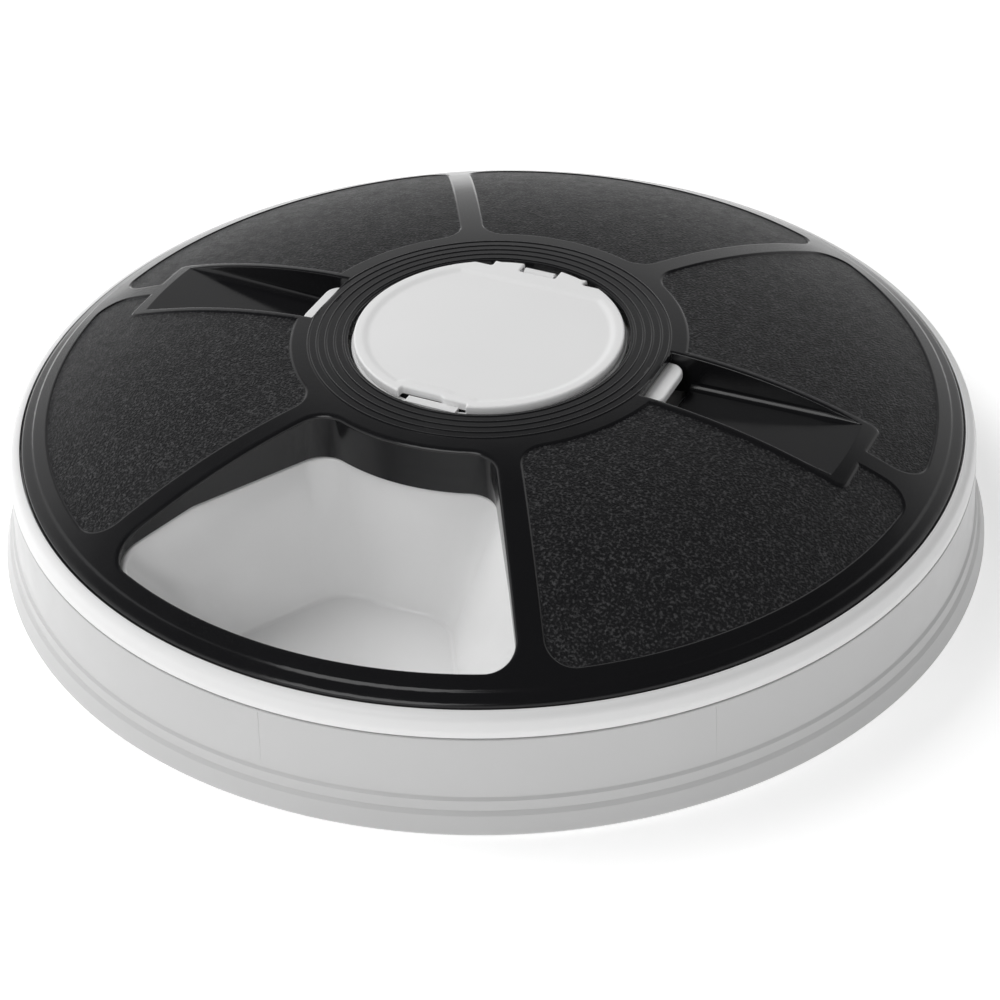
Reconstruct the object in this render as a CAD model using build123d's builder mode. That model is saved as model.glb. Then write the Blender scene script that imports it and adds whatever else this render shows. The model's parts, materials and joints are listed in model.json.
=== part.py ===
from build123d import *
import math
import os

# Automatic pet feeder with six compartments: a white base, a turning food tray under a black domed lid,
# and a central column that holds the controls, the drive and the batteries.
# Millimetres, +Z up. The origin is the middle of the footprint, on the surface the feet stand on.
# The lid's opening faces -Y, the cover's hinge is at +Y and the two squeeze latches are on +X and -X.

# ---- driving dimensions -------------------------------------------------------------------------------
foot_height = 1.0              # rubber feet below the shell
shell_bottom_radius = 160.0
seam_radius = 155.0
seam_z = 33.0
rim_top_z = 40.4               # top of the deck's rounded shoulder
lid_radius = 150.6
lid_edge_z = 41.3              # upper edge of the lid's rim
crown_radius = 50.0            # the dome is flat inside this radius
crown_z = 66.2
lid_wall = 2.2
hub_hole_radius = 44.8         # hole in the lid round the cover
cover_radius = 43.0
cover_top_z = 67.4
compartments = 6
column_radius = 50.0
column_wall = 2.2
basin_radius = 144.5           # inside of the basin that the tray turns in
deck_floor_z = 5.0
tray_radius = 142.5
tray_floor_z = 8.4
tray_wall = 1.8
tray_crown_z = 49.4            # top of the ribs between the compartments
gear_module = 1.5
ring_teeth = 72
idler_teeth = 12
motor_teeth = 10
fit = 0.3                      # gap between parts of different bodies
step_angle = 360 / compartments

os.makedirs("parts", exist_ok=True)


def save(part, name):
    part.label = name
    export_step(part, f"parts/{name}.step")


def side_point(radius, inset, sign):
    """Where a compartment's straight side, inset from its spoke's centre line, meets a radius."""
    half = math.radians(step_angle / 2)
    along = math.sqrt(radius**2 - inset**2)
    x = along * math.cos(half) + inset * math.sin(half)
    y = along * math.sin(half) - inset * math.cos(half)
    return (x, sign * y)


def wedge_sketch(inner, outer, inset, corner, turn):
    """One compartment's outline between two radii, centred on the direction of turn, with round corners."""
    with BuildSketch(mode=Mode.PRIVATE) as outline:
        with BuildLine():
            near = [side_point(inner, inset, 1), side_point(inner, inset, -1)]
            far = [side_point(outer, inset, 1), side_point(outer, inset, -1)]
            Line(near[0], far[0])
            ThreePointArc(far[0], (outer, 0), far[1])
            Line(far[1], near[1])
            ThreePointArc(near[1], (inner, 0), near[0])
        make_face()
        fillet(outline.vertices(), corner)
    return outline.sketch.rotate(Axis.Z, turn)


def involute_gear_profile(teeth, internal=False, backlash=0.12):
    """Half thickness angle of a tooth at its pitch circle and the radii that bound it."""
    pitch = gear_module * teeth / 2
    grow = -1 if internal else 1
    tip = pitch + grow * 0.9 * gear_module
    root = pitch - grow * 1.15 * gear_module
    half_tooth = (math.pi * gear_module / 2 - backlash) / 2 / pitch
    return pitch, tip, root, half_tooth


def involute_flank(teeth, low, high, half_at_pitch, steps=5):
    """Points of one involute flank, as radius and angle from the tooth's centre line."""
    pitch = gear_module * teeth / 2
    base = pitch * math.cos(math.radians(20))

    def roll(radius):
        ratio = max(radius, base) / base
        return math.sqrt(ratio**2 - 1) - math.acos(1 / ratio)

    points = []
    for i in range(steps + 1):
        radius = low + (high - low) * i / steps
        points.append((radius, half_at_pitch + roll(pitch) - roll(radius)))
    return points


def spur_sketch(teeth, bore_radius):
    """An external gear's face, one tooth centred on +X."""
    pitch, tip, root, half = involute_gear_profile(teeth)
    flank = involute_flank(teeth, root, tip, half)
    points = []
    for i in range(teeth):
        centre = 2 * math.pi * i / teeth
        for radius, angle in flank:
            points.append((radius * math.cos(centre - angle), radius * math.sin(centre - angle)))
        for radius, angle in reversed(flank):
            points.append((radius * math.cos(centre + angle), radius * math.sin(centre + angle)))
    with BuildSketch(mode=Mode.PRIVATE) as face:
        with BuildLine():
            Polyline(*points, close=True)
        make_face()
        Circle(bore_radius, mode=Mode.SUBTRACT)
    return face.sketch


def ring_sketch(teeth, outer_radius):
    """An internal gear's face, one tooth space centred on +X."""
    pitch, tip, root, half = involute_gear_profile(teeth, internal=True)
    space = math.pi / teeth * 2 - 2 * half
    flank = involute_flank(teeth, tip, root, space / 2)
    points = []
    for i in range(teeth):
        centre = 2 * math.pi * i / teeth
        for radius, angle in flank:
            points.append((radius * math.cos(centre - angle), radius * math.sin(centre - angle)))
        for radius, angle in reversed(flank):
            points.append((radius * math.cos(centre + angle), radius * math.sin(centre + angle)))
    with BuildSketch(mode=Mode.PRIVATE) as face:
        Circle(outer_radius)
        with BuildLine():
            Polyline(*points, close=True)
        make_face(mode=Mode.SUBTRACT)
    return face.sketch


# ---- lower shell --------------------------------------------------------------------------------------
plate_top_z = foot_height + 2.0
shell_top_z = seam_z - 0.25
post_radius_at = 150.0          # circle of the screws that join shell and deck
post_start_angle = 30
post_bottom_z = 7.0
screw_shank = 1.3
screw_head_radius = 2.5
door_half_x = 44.0
door_half_y = 29.0
door_travel = 12.0
rail_reach = 2.0
foot_radius = 6.0
foot_circle = 138.0
foot_start_angle = 0
foot_top_z = foot_height + 0.6

with BuildPart() as lower_shell:
    with BuildSketch(Plane.XZ):
        with BuildLine():
            Polyline(
                (0, foot_height), (159.4, foot_height), (shell_bottom_radius, foot_height + 0.8),
                (158.1, 7.4), (157.7, 8.4), (156.9, 11.4), (156.4, 12.2),
                (seam_radius, shell_top_z), (152.8, shell_top_z), (153.9, 12.0), (154.9, 6.0),
                (155.4, plate_top_z), (0, plate_top_z), close=True,
            )
        make_face()
    revolve(axis=Axis.Z)
    with BuildSketch(Plane.XY.offset(plate_top_z)):
        with PolarLocations(post_radius_at, 6, start_angle=post_start_angle):
            Circle(2.9)
    extrude(amount=post_bottom_z - 0.2 - plate_top_z)
    with BuildSketch(Plane.XY.offset(foot_height)):
        with PolarLocations(post_radius_at, 6, start_angle=post_start_angle):
            Circle(screw_head_radius + 0.15)
    extrude(amount=3.4, mode=Mode.SUBTRACT)
    with BuildSketch(Plane.XY.offset(foot_height)):
        with PolarLocations(post_radius_at, 6, start_angle=post_start_angle):
            Circle(screw_shank + 0.2)
    extrude(amount=8, mode=Mode.SUBTRACT)
    with BuildSketch(Plane.XY.offset(foot_height)):
        with PolarLocations(foot_circle, 6, start_angle=foot_start_angle):
            Circle(foot_radius)
    extrude(amount=foot_top_z - foot_height, mode=Mode.SUBTRACT)
    # battery bay: a clear opening, with a groove along both sides that carries the sliding door
    with BuildSketch(Plane.XY.offset(foot_height)):
        with Locations((0, door_travel / 2)):
            Rectangle(2 * (door_half_x + 0.4), 2 * door_half_y + door_travel + 0.8)
    extrude(amount=4, mode=Mode.SUBTRACT)
    with BuildSketch(Plane.XY.offset(foot_height + 0.8)):
        with Locations((0, door_travel / 2)):
            Rectangle(2 * (door_half_x + rail_reach + 0.4), 2 * door_half_y + door_travel + 0.8)
    extrude(amount=4, mode=Mode.SUBTRACT)
    # roof over the space that the door slides into
    with BuildSketch(Plane.XY.offset(plate_top_z)):
        with Locations((0, door_half_y + door_travel / 2 + 2.4)):
            Rectangle(2 * (door_half_x + 4), door_travel + 4)
        Circle(column_radius - column_wall - 0.4, mode=Mode.INTERSECT)
    extrude(amount=1.2)
save(lower_shell.part, "lower_shell")

with BuildPart() as rubber_feet:
    with BuildSketch():
        with PolarLocations(foot_circle, 6, start_angle=foot_start_angle):
            Circle(foot_radius)
    extrude(amount=foot_top_z)
    chamfer(rubber_feet.faces().sort_by(Axis.Z)[:6].edges(), 0.4)
save(rubber_feet.part, "rubber_feet")

with BuildPart() as shell_screws:
    with BuildSketch(Plane.XY.offset(foot_height + 1.0)):
        with PolarLocations(post_radius_at, 6, start_angle=post_start_angle):
            Circle(screw_head_radius)
    extrude(amount=2.4)
    with BuildSketch(Plane.XY.offset(foot_height + 3.4)):
        with PolarLocations(post_radius_at, 6, start_angle=post_start_angle):
            Circle(screw_shank)
    extrude(amount=12)
    with BuildSketch(Plane.XY.offset(foot_height + 1.0)):
        with PolarLocations(post_radius_at, 6, start_angle=post_start_angle):
            Rectangle(3.2, 0.7)
            Rectangle(0.7, 3.2)
    extrude(amount=1.2, mode=Mode.SUBTRACT)
save(shell_screws.part, "shell_screws")

with BuildPart() as battery_door:
    with BuildSketch(Plane.XY.offset(foot_height + 0.3)) as battery_door_outline:
        Rectangle(2 * door_half_x, 2 * door_half_y)
        fillet(battery_door_outline.vertices(), 2)
    extrude(amount=1.6)
    with BuildSketch(Plane.XY.offset(foot_height + 1.1)):
        Rectangle(2 * (door_half_x + rail_reach), 2 * door_half_y - 6)
    extrude(amount=0.8)
    with BuildSketch(Plane.XY.offset(foot_height + 0.3)):
        with Locations(*[(0, -door_half_y + 6 + 3 * i) for i in range(5)]):
            SlotOverall(26, 1.2)
    extrude(amount=0.5, mode=Mode.SUBTRACT)
save(battery_door.part, "battery_door")

# ---- upper deck: rim, basin and central column ---------------------------------------------------------
rest_z = 38.4                   # ledge that the lid's rim stands over
column_top_z = 54.0
column_inner = column_radius - column_wall
shelf_inner = 40.6
gear_low_z = 39.0
gear_high_z = 45.0
idler_circle = gear_module * (ring_teeth - idler_teeth) / 2
idler_angle = 111.0
window_half = 13.0

with BuildPart() as upper_deck:
    with BuildSketch(Plane.XZ):
        with BuildLine():
            Line((seam_radius, seam_z + 0.25), (154.9, 35.6))
            TangentArc((154.9, 35.6), (151.9, rim_top_z), tangent=(-0.02, 1))
            Polyline(
                (151.9, rim_top_z), (151.1, rim_top_z), (151.1, rest_z), (basin_radius, rest_z),
                (basin_radius, deck_floor_z), (102.0, deck_floor_z), (102.0, 6.1), (99.0, 6.1),
                (99.0, deck_floor_z), (column_radius, deck_floor_z), (column_radius, column_top_z),
                (shelf_inner, column_top_z), (shelf_inner, column_top_z - 2.0),
                (column_inner, column_top_z - 2.0), (column_inner, 3.3), (146.7, 3.3), (146.7, 36.2),
                (150.4, 36.2), (150.4, 29.5), (152.2, 29.5), (152.4, seam_z + 0.25),
                (seam_radius, seam_z + 0.25),
            )
        make_face()
    revolve(axis=Axis.Z)
    with BuildSketch(Plane.XY.offset(post_bottom_z)):
        with PolarLocations(post_radius_at, 6, start_angle=post_start_angle):
            Circle(2.8)
    extrude(amount=36.2 - post_bottom_z)
    with BuildSketch(Plane.XY.offset(post_bottom_z)):
        with PolarLocations(post_radius_at, 6, start_angle=post_start_angle):
            Circle(screw_shank)
    extrude(amount=10, mode=Mode.SUBTRACT)
    # window that the idler gear reaches the tray through
    with BuildSketch(Plane.XY.offset(gear_low_z - 1.2)):
        with PolarLocations(column_radius, 1, start_angle=idler_angle):
            Rectangle(12, 2 * window_half)
    extrude(amount=gear_high_z - gear_low_z + 3.6, mode=Mode.SUBTRACT)
save(upper_deck.part, "upper_deck")

# ---- lid ----------------------------------------------------------------------------------------------
lid_bottom_z = rest_z + fit
lid_skirt_low_z = 36.0
opening_inner = 64.2
opening_outer = 141.4
opening_inset = 4.2
opening_turn = -90.0
panel_inner = 62.6
panel_outer = 142.4
panel_inset = 3.2
panel_depth = 0.5
recess_floor_z = 54.4
recess_inner_half = 12.6
recess_outer_half = 14.4
recess_start = 57.2
recess_end = 122.0
latch_reach = 65.5
latch_slot_reach = 66.6
ridge_pitch = 2.8
ridge_first = 46.2
dome_drop = crown_z - lid_edge_z
dome_run = lid_radius - crown_radius
dome_radius = (dome_run**2 + dome_drop**2) / (2 * dome_drop)


def dome_z(radius, depth=0.0):
    """Height of the dome's surface, or of a surface a given depth below it."""
    if radius <= crown_radius:
        return crown_z - depth
    run = radius - crown_radius
    return crown_z - dome_radius + math.sqrt((dome_radius - depth) ** 2 - run**2)


def dome_band(inner, outer, top_depth, bottom_depth):
    """A revolved layer of the dome between two radii and two depths."""
    with BuildPart(mode=Mode.PRIVATE) as band:
        with BuildSketch(Plane.XZ):
            with BuildLine():
                top_in = (inner, dome_z(inner, top_depth))
                top_out = (outer, dome_z(outer, top_depth))
                low_in = (inner, dome_z(inner, bottom_depth))
                low_out = (outer, dome_z(outer, bottom_depth))
                middle = (inner + outer) / 2
                ThreePointArc(top_in, (middle, dome_z(middle, top_depth)), top_out)
                Line(top_out, low_out)
                ThreePointArc(low_out, (middle, dome_z(middle, bottom_depth)), low_in)
                Line(low_in, top_in)
            make_face()
        revolve(axis=Axis.Z)
    return band.part


def prism(sketch, low, high):
    return extrude(Plane.XY.offset(low) * sketch, high - low, mode=Mode.PRIVATE)


def cut_at_spokes(part):
    """One moulding given as six equal-angled solids that meet in the middle of its spokes."""
    sector_reach = 200.0
    pieces = []
    for i in range(compartments):
        from_angle = step_angle * i
        to_angle = from_angle + step_angle
        with BuildSketch(mode=Mode.PRIVATE) as sector:
            with BuildLine():
                Polyline(
                    (0, 0), (Vector(sector_reach, 0).rotate(Axis.Z, from_angle)),
                    (Vector(sector_reach, 0).rotate(Axis.Z, to_angle)), close=True,
                )
            make_face()
        pieces += (part & prism(sector.sketch, 0, 100)).solids()
    return Compound(children=pieces)


rim_inner = 145.6
opening_cut = prism(wedge_sketch(opening_inner, opening_outer, opening_inset, 9, opening_turn), 20, 80)
collar_outline = wedge_sketch(opening_inner - 2, opening_outer + 2, opening_inset - 2, 11, opening_turn)
with BuildPart() as collar_zone:
    with BuildSketch(Plane.XZ):
        with BuildLine():
            Polyline(
                (0, tray_crown_z + 1.0), (112, tray_crown_z + 1.0), (143.4, 43.0), (143.4, dome_z(143.4, 1)),
            )
            ThreePointArc((143.4, dome_z(143.4, 1)), (100, dome_z(100, 1)), (crown_radius, dome_z(50, 1)))
            Polyline((crown_radius, dome_z(50, 1)), (0, dome_z(0, 1)), (0, tray_crown_z + 1.0))
        make_face()
    revolve(axis=Axis.Z)
collar = prism(collar_outline, 20, 80) & collar_zone.part

with BuildPart() as recess_shape:
    with BuildSketch(Plane.XY.offset(recess_floor_z)):
        with BuildLine():
            Polyline(
                (recess_start, -recess_inner_half), (recess_end, -recess_outer_half),
                (recess_end, recess_outer_half), (recess_start, recess_inner_half), close=True,
            )
        make_face()
    extrude(amount=20)
    fillet(recess_shape.faces().sort_by(Axis.Z)[0].edges().filter_by(Axis.X, tolerance=5), 3.0)
recess_cut = recess_shape.part

with BuildPart() as recess_pan:
    with BuildSketch(Plane.XY.offset(recess_floor_z - lid_wall)):
        with BuildLine():
            Polyline(
                (recess_start - lid_wall, -recess_inner_half - lid_wall),
                (recess_end, -recess_outer_half - lid_wall), (recess_end, recess_outer_half + lid_wall),
                (recess_start - lid_wall, recess_inner_half + lid_wall), close=True,
            )
        make_face()
    extrude(amount=20)
recess_body = recess_pan.part & collar_zone.part

with BuildPart() as lid:
    with BuildSketch(Plane.XZ):
        with BuildLine():
            hub_out = (crown_radius, crown_z)
            TangentArc(hub_out, (lid_radius, lid_edge_z), tangent=(1, 0))
            Polyline(
                (lid_radius, lid_edge_z), (lid_radius, lid_bottom_z), (rim_inner, lid_bottom_z),
                (rim_inner, dome_z(rim_inner, lid_wall)),
            )
            inner_mid = (100, dome_z(100, lid_wall))
            inner_end = (crown_radius, crown_z - lid_wall)
            ThreePointArc((rim_inner, dome_z(rim_inner, lid_wall)), inner_mid, inner_end)
            Polyline(
                (crown_radius, crown_z - lid_wall), (hub_hole_radius, crown_z - lid_wall),
                (hub_hole_radius, crown_z), hub_out,
            )
        make_face()
    revolve(axis=Axis.Z)
    # raised ridges round the hub
    with BuildSketch(Plane.XZ):
        with Locations(*[(ridge_first + ridge_pitch * i, crown_z) for i in range(5)]):
            Rectangle(1.1, 0.8)
    revolve(axis=Axis.Z)
    # locating collar round the column, under the hub
    with BuildSketch(Plane.XY.offset(52.6)):
        Circle(53.4)
        Circle(51.6, mode=Mode.SUBTRACT)
    extrude(amount=12)
    add(collar)
    add(recess_body)
    add(recess_body.rotate(Axis.Z, 180))
    add(opening_cut, mode=Mode.SUBTRACT)
    add(recess_cut, mode=Mode.SUBTRACT)
    add(recess_cut.rotate(Axis.Z, 180), mode=Mode.SUBTRACT)
    # ways through the hub for the two latches
    for side in (-1, 1):
        with BuildSketch(Plane.XY.offset(50)):
            with Locations((side * (latch_slot_reach + 45) / 2, 0)):
                Rectangle(latch_slot_reach - 45, 2 * recess_inner_half)
        extrude(amount=crown_z - lid_wall - 50, mode=Mode.SUBTRACT)
    for i in range(1, compartments):
        outline = wedge_sketch(panel_inner, panel_outer, panel_inset, 9, opening_turn + step_angle * i)
        layer = dome_band(56, 148, -1.0, panel_depth)
        keep_out = recess_pan.part + recess_pan.part.rotate(Axis.Z, 180)
        add((prism(outline, 20, 80) & layer) - keep_out, mode=Mode.SUBTRACT)
save(cut_at_spokes(lid.part), "lid")

# ---- food tray ----------------------------------------------------------------------------------------
hub_inner = 58.0
tray_outer_z = 42.2             # top of the tray at its outer edge
cup_top = (62.2, 139.4, 3.0, 14.0)       # inner radius, outer radius, inset from the spoke, corner radius
cup_floor = (72.0, 128.0, 19.0, 14.0)


def cup(grow, low_z, high_z):
    """A compartment's tapered block, grown outwards by a wall's thickness, centred on -Y."""
    top = wedge_sketch(cup_top[0] - grow, cup_top[1] + grow, cup_top[2] - grow, cup_top[3] + grow, -90)
    floor = wedge_sketch(
        cup_floor[0] - grow, cup_floor[1] + grow, cup_floor[2] - grow, cup_floor[3] + grow, -90
    )
    sections = [Plane.XY.offset(low_z) * floor.face(), Plane.XY.offset(high_z) * top.face()]
    return loft(sections, ruled=True, mode=Mode.PRIVATE)


inner_cup = cup(0, tray_floor_z, 52.0)
outer_cup = cup(tray_wall, tray_floor_z - 1.9, 52.0)

with BuildPart() as food_tray:
    with BuildSketch(Plane.XZ):
        with BuildLine():
            Polyline(
                (hub_inner, 37.0), (60.0, 37.0), (60.0, tray_crown_z - 2.0), (111.4, tray_crown_z - 2.0),
                (139.4, tray_outer_z - 1.4), (140.9, tray_outer_z - 1.8), (140.9, 30.0),
                (145, 30.0), (145, 55), (hub_inner, 55), close=True,
            )
        make_face()
    revolve(axis=Axis.Z)
    for i in range(compartments):
        add(outer_cup.rotate(Axis.Z, step_angle * i))
    # everything is trimmed to one domed top, then the compartments are hollowed
    with BuildSketch(Plane.XZ):
        with BuildLine():
            Polyline(
                (0, 0), (tray_radius, 0), (tray_radius, tray_outer_z), (140, tray_outer_z + 0.6),
                (112, tray_crown_z), (0, tray_crown_z), close=True,
            )
        make_face()
    revolve(axis=Axis.Z, mode=Mode.INTERSECT)
    for i in range(compartments):
        add(inner_cup.rotate(Axis.Z, step_angle * i), mode=Mode.SUBTRACT)
save(cut_at_spokes(food_tray.part), "food_tray")

with BuildPart() as tray_ring_gear:
    add(prism(ring_sketch(ring_teeth, hub_inner), gear_low_z - 0.2, gear_high_z + 0.2))
save(tray_ring_gear.part, "tray_ring_gear")

# ---- drive --------------------------------------------------------------------------------------------
chassis_low_z = 32.6
chassis_top_z = 34.4
motor_distance = 38.5
motor_radius = 9.0
motor_at = (0.0, motor_distance)
mesh_distance = gear_module * (idler_teeth + motor_teeth) / 2
idler_swing = math.degrees(
    math.acos((idler_circle**2 + motor_distance**2 - mesh_distance**2) / (2 * idler_circle * motor_distance))
)
idler_at = (
    idler_circle * math.cos(math.radians(idler_angle)),
    idler_circle * math.sin(math.radians(idler_angle)),
)
shaft_radius = 1.5
running_gap = 0.05
# The ring gear has a tooth space on +X. The idler is turned so that one of its teeth points outwards into
# the nearest space, and the motor gear so that one of its spaces receives the idler's tooth.
ring_space = round(idler_angle / (360 / ring_teeth)) * 360 / ring_teeth
idler_phase = idler_angle + (idler_angle - ring_space) * -ring_teeth / idler_teeth
line_to_motor = math.degrees(math.atan2(motor_at[1] - idler_at[1], motor_at[0] - idler_at[0]))
idler_off = (line_to_motor - idler_phase) / (360 / idler_teeth)
idler_off = idler_off - round(idler_off)
motor_phase = line_to_motor + 180 + (0.5 + idler_off) * 360 / motor_teeth

with BuildPart() as idler_gear:
    idler_face = spur_sketch(idler_teeth, shaft_radius + running_gap).rotate(Axis.Z, idler_phase)
    add(prism(idler_face, gear_low_z, gear_high_z))
    with BuildSketch(Plane.XY.offset(chassis_top_z + 0.4)):
        Circle(2.6)
        Circle(shaft_radius + running_gap, mode=Mode.SUBTRACT)
    extrude(amount=gear_low_z - chassis_top_z - 0.4)
save(Pos(*idler_at) * idler_gear.part, "idler_gear")

with BuildPart() as idler_pin:
    with Locations(Pos(idler_at[0], idler_at[1], chassis_low_z)):
        Cylinder(shaft_radius, 47.4 - chassis_low_z, align=(Align.CENTER, Align.CENTER, Align.MIN))
    with BuildSketch(Plane.XY.offset(gear_high_z + 1.0)):
        with Locations(idler_at):
            Circle(shaft_radius + 1)
            Circle(shaft_radius - 0.4, mode=Mode.SUBTRACT)
    extrude(amount=0.5, mode=Mode.SUBTRACT)
    chamfer(idler_pin.faces().sort_by(Axis.Z)[-1].edges(), 0.3)
save(idler_pin.part, "idler_pin")

with BuildPart() as idler_clip:
    with BuildSketch(Plane.XY.offset(gear_high_z + 1.0)):
        with Locations(idler_at):
            Circle(2.5)
            Circle(shaft_radius - 0.4, mode=Mode.SUBTRACT)
        with Locations((idler_at[0] * 0.94, idler_at[1] * 0.94)):
            Rectangle(1.6, 6, rotation=0, mode=Mode.SUBTRACT)
    extrude(amount=0.5)
save(idler_clip.part, "idler_clip")

with BuildPart() as motor_gear:
    motor_face = spur_sketch(motor_teeth, shaft_radius).rotate(Axis.Z, motor_phase)
    add(prism(motor_face, gear_low_z, gear_high_z))
    with BuildSketch(Plane.XY.offset(chassis_top_z + 0.6)):
        Circle(3.6)
        Circle(shaft_radius, mode=Mode.SUBTRACT)
    extrude(amount=gear_low_z - chassis_top_z - 0.6)
save(Pos(*motor_at) * motor_gear.part, "motor_gear")

with BuildPart() as motor_shaft:
    with Locations(Pos(motor_at[0], motor_at[1], 27.0)):
        Cylinder(shaft_radius, gear_high_z + 0.6 - 27.0, align=(Align.CENTER, Align.CENTER, Align.MIN))
    chamfer(motor_shaft.faces().sort_by(Axis.Z)[-1].edges(), 0.3)
save(motor_shaft.part, "motor_shaft")

motor_screw_x = 6.2
terminal_x = 4.4
terminal_y = 2.2
lead_x = 13.5
with BuildPart() as gear_motor:
    with BuildSketch(Plane.XY.offset(7.5)):
        with Locations(motor_at):
            Circle(motor_radius - 0.6)
    extrude(amount=11.5)
    with BuildSketch(Plane.XY.offset(19.0)):
        with Locations(motor_at):
            Circle(motor_radius)
    extrude(amount=chassis_low_z - 19.0)
    with BuildSketch(Plane.XY.offset(chassis_low_z)):
        with Locations(motor_at):
            Circle(3.0)
    extrude(amount=chassis_top_z - chassis_low_z)
    with BuildSketch(Plane.XY.offset(26.0)):
        with Locations(motor_at):
            Circle(shaft_radius + running_gap)
    extrude(amount=10, mode=Mode.SUBTRACT)
    with BuildSketch(Plane.XY.offset(5.4)):
        with Locations(*[(terminal_x, motor_at[1] + side * terminal_y) for side in (-1, 1)]):
            Rectangle(0.6, 2.4)
    extrude(amount=2.1)
    with BuildSketch(Plane.XY.offset(28.0)):
        with Locations(*[(motor_at[0] + side * motor_screw_x, motor_at[1]) for side in (-1, 1)]):
            Circle(0.9)
    extrude(amount=6, mode=Mode.SUBTRACT)
save(gear_motor.part, "gear_motor")

with BuildPart() as gear_chassis:
    with BuildSketch(Plane.XY.offset(chassis_low_z)):
        Circle(column_inner - 0.3)
        with Locations(motor_at):
            Circle(3.0, mode=Mode.SUBTRACT)
        with Locations(idler_at):
            Circle(shaft_radius, mode=Mode.SUBTRACT)
        with Locations(*[(motor_at[0] + side * motor_screw_x, motor_at[1]) for side in (-1, 1)]):
            Circle(1.1, mode=Mode.SUBTRACT)
        with Locations((26, -26)):
            Circle(5, mode=Mode.SUBTRACT)
        with Locations((lead_x, motor_at[1])):
            SlotOverall(9, 4, rotation=90, mode=Mode.SUBTRACT)
    extrude(amount=chassis_top_z - chassis_low_z)
    # two posts that hold the index sensor up to the magnets' height
    with BuildSketch(Plane.XY.offset(chassis_top_z)):
        with Locations((-4.5, -44.4), (4.5, -44.4)):
            Rectangle(2.4, 3.0)
    extrude(amount=7.0)
save(gear_chassis.part, "gear_chassis")

with BuildPart() as motor_screws:
    with BuildSketch(Plane.XY.offset(chassis_top_z)):
        with Locations(*[(motor_at[0] + side * motor_screw_x, motor_at[1]) for side in (-1, 1)]):
            Circle(1.8)
    extrude(amount=1.3)
    with BuildSketch(Plane.XY.offset(28.6)):
        with Locations(*[(motor_at[0] + side * motor_screw_x, motor_at[1]) for side in (-1, 1)]):
            Circle(0.9)
    extrude(amount=chassis_top_z - 28.6)
    with BuildSketch(Plane.XY.offset(chassis_top_z + 0.7)):
        with Locations(*[(motor_at[0] + side * motor_screw_x, motor_at[1]) for side in (-1, 1)]):
            Rectangle(2.6, 0.5)
    extrude(amount=1, mode=Mode.SUBTRACT)
save(motor_screws.part, "motor_screws")

with BuildPart() as index_sensor:
    with BuildSketch(Plane.XY.offset(chassis_top_z + 7.0)):
        with Locations((0, -44.6)):
            Rectangle(13.0, 4.4)
    extrude(amount=1.6)
    with BuildSketch(Plane.XY.offset(chassis_top_z + 8.6)):
        with Locations((0, -45.2)):
            Rectangle(4.0, 2.6)
    extrude(amount=3.0)
save(index_sensor.part, "index_sensor")

# ---- batteries ----------------------------------------------------------------------------------------
cell_radius = 13.1
cell_pitch = 26.3
cell_axis_z = 17.0
cell_body = 48.5
box_top_z = 31.8
box_wall = 1.0

with BuildPart() as battery_box:
    with BuildSketch(Plane.XY.offset(plate_top_z + 0.4)) as box_outline:
        Rectangle(2 * 40.8, 2 * 27.6)
        Circle(column_inner - 0.3, mode=Mode.INTERSECT)
    extrude(amount=box_top_z - plate_top_z - 0.4)
    with BuildSketch(Plane.XY.offset(plate_top_z + 0.4)):
        Rectangle(2 * (40.8 - box_wall), 2 * (27.6 - box_wall))
        Circle(column_inner - 1.1, mode=Mode.INTERSECT)
    extrude(amount=box_top_z - box_wall - plate_top_z - 0.4, mode=Mode.SUBTRACT)
save(battery_box.part, "battery_box")

with BuildPart() as battery_cells:
    for i in (-1, 0, 1):
        flip = 1 if i % 2 else -1
        with Locations(Pos(i * cell_pitch, 0, cell_axis_z) * Rot(90 * flip, 0, 0)):
            Cylinder(cell_radius, cell_body)
        with Locations(Pos(i * cell_pitch, -flip * (cell_body / 2 + 0.7), cell_axis_z) * Rot(90, 0, 0)):
            Cylinder(3.2, 1.4)
save(battery_cells.part, "battery_cells")

with BuildPart() as battery_contacts:
    for i in (-1, 0, 1):
        for side in (-1, 1):
            with Locations(Pos(i * cell_pitch, side * 26.35, cell_axis_z)):
                Box(9.0, 0.5, 11.0)
save(battery_contacts.part, "battery_contacts")

# ---- hub bezel, controls and latches --------------------------------------------------------------------
bezel_outer = 43.8
bezel_inner = 41.8
bezel_top_z = 64.3
panel_low_z = 62.2
panel_top_z = 63.6
hinge_y = 39.2
hinge_z = 65.3
hinge_barrel = 1.9
pin_radius = 0.8
pin_half = 16.4
chord_y = 36.9
board_z = 55.4
board_thick = 1.6
board_screw = 0.9
board_screw_y = 38.0
arm_low_z = 58.0
arm_high_z = 60.2
arm_half = 9.0
pad_half = 12.0
pad_low_z = 60.2
pad_high_z = 62.9
latch_travel = 3.6
spring_seat_x = 22.0

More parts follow.
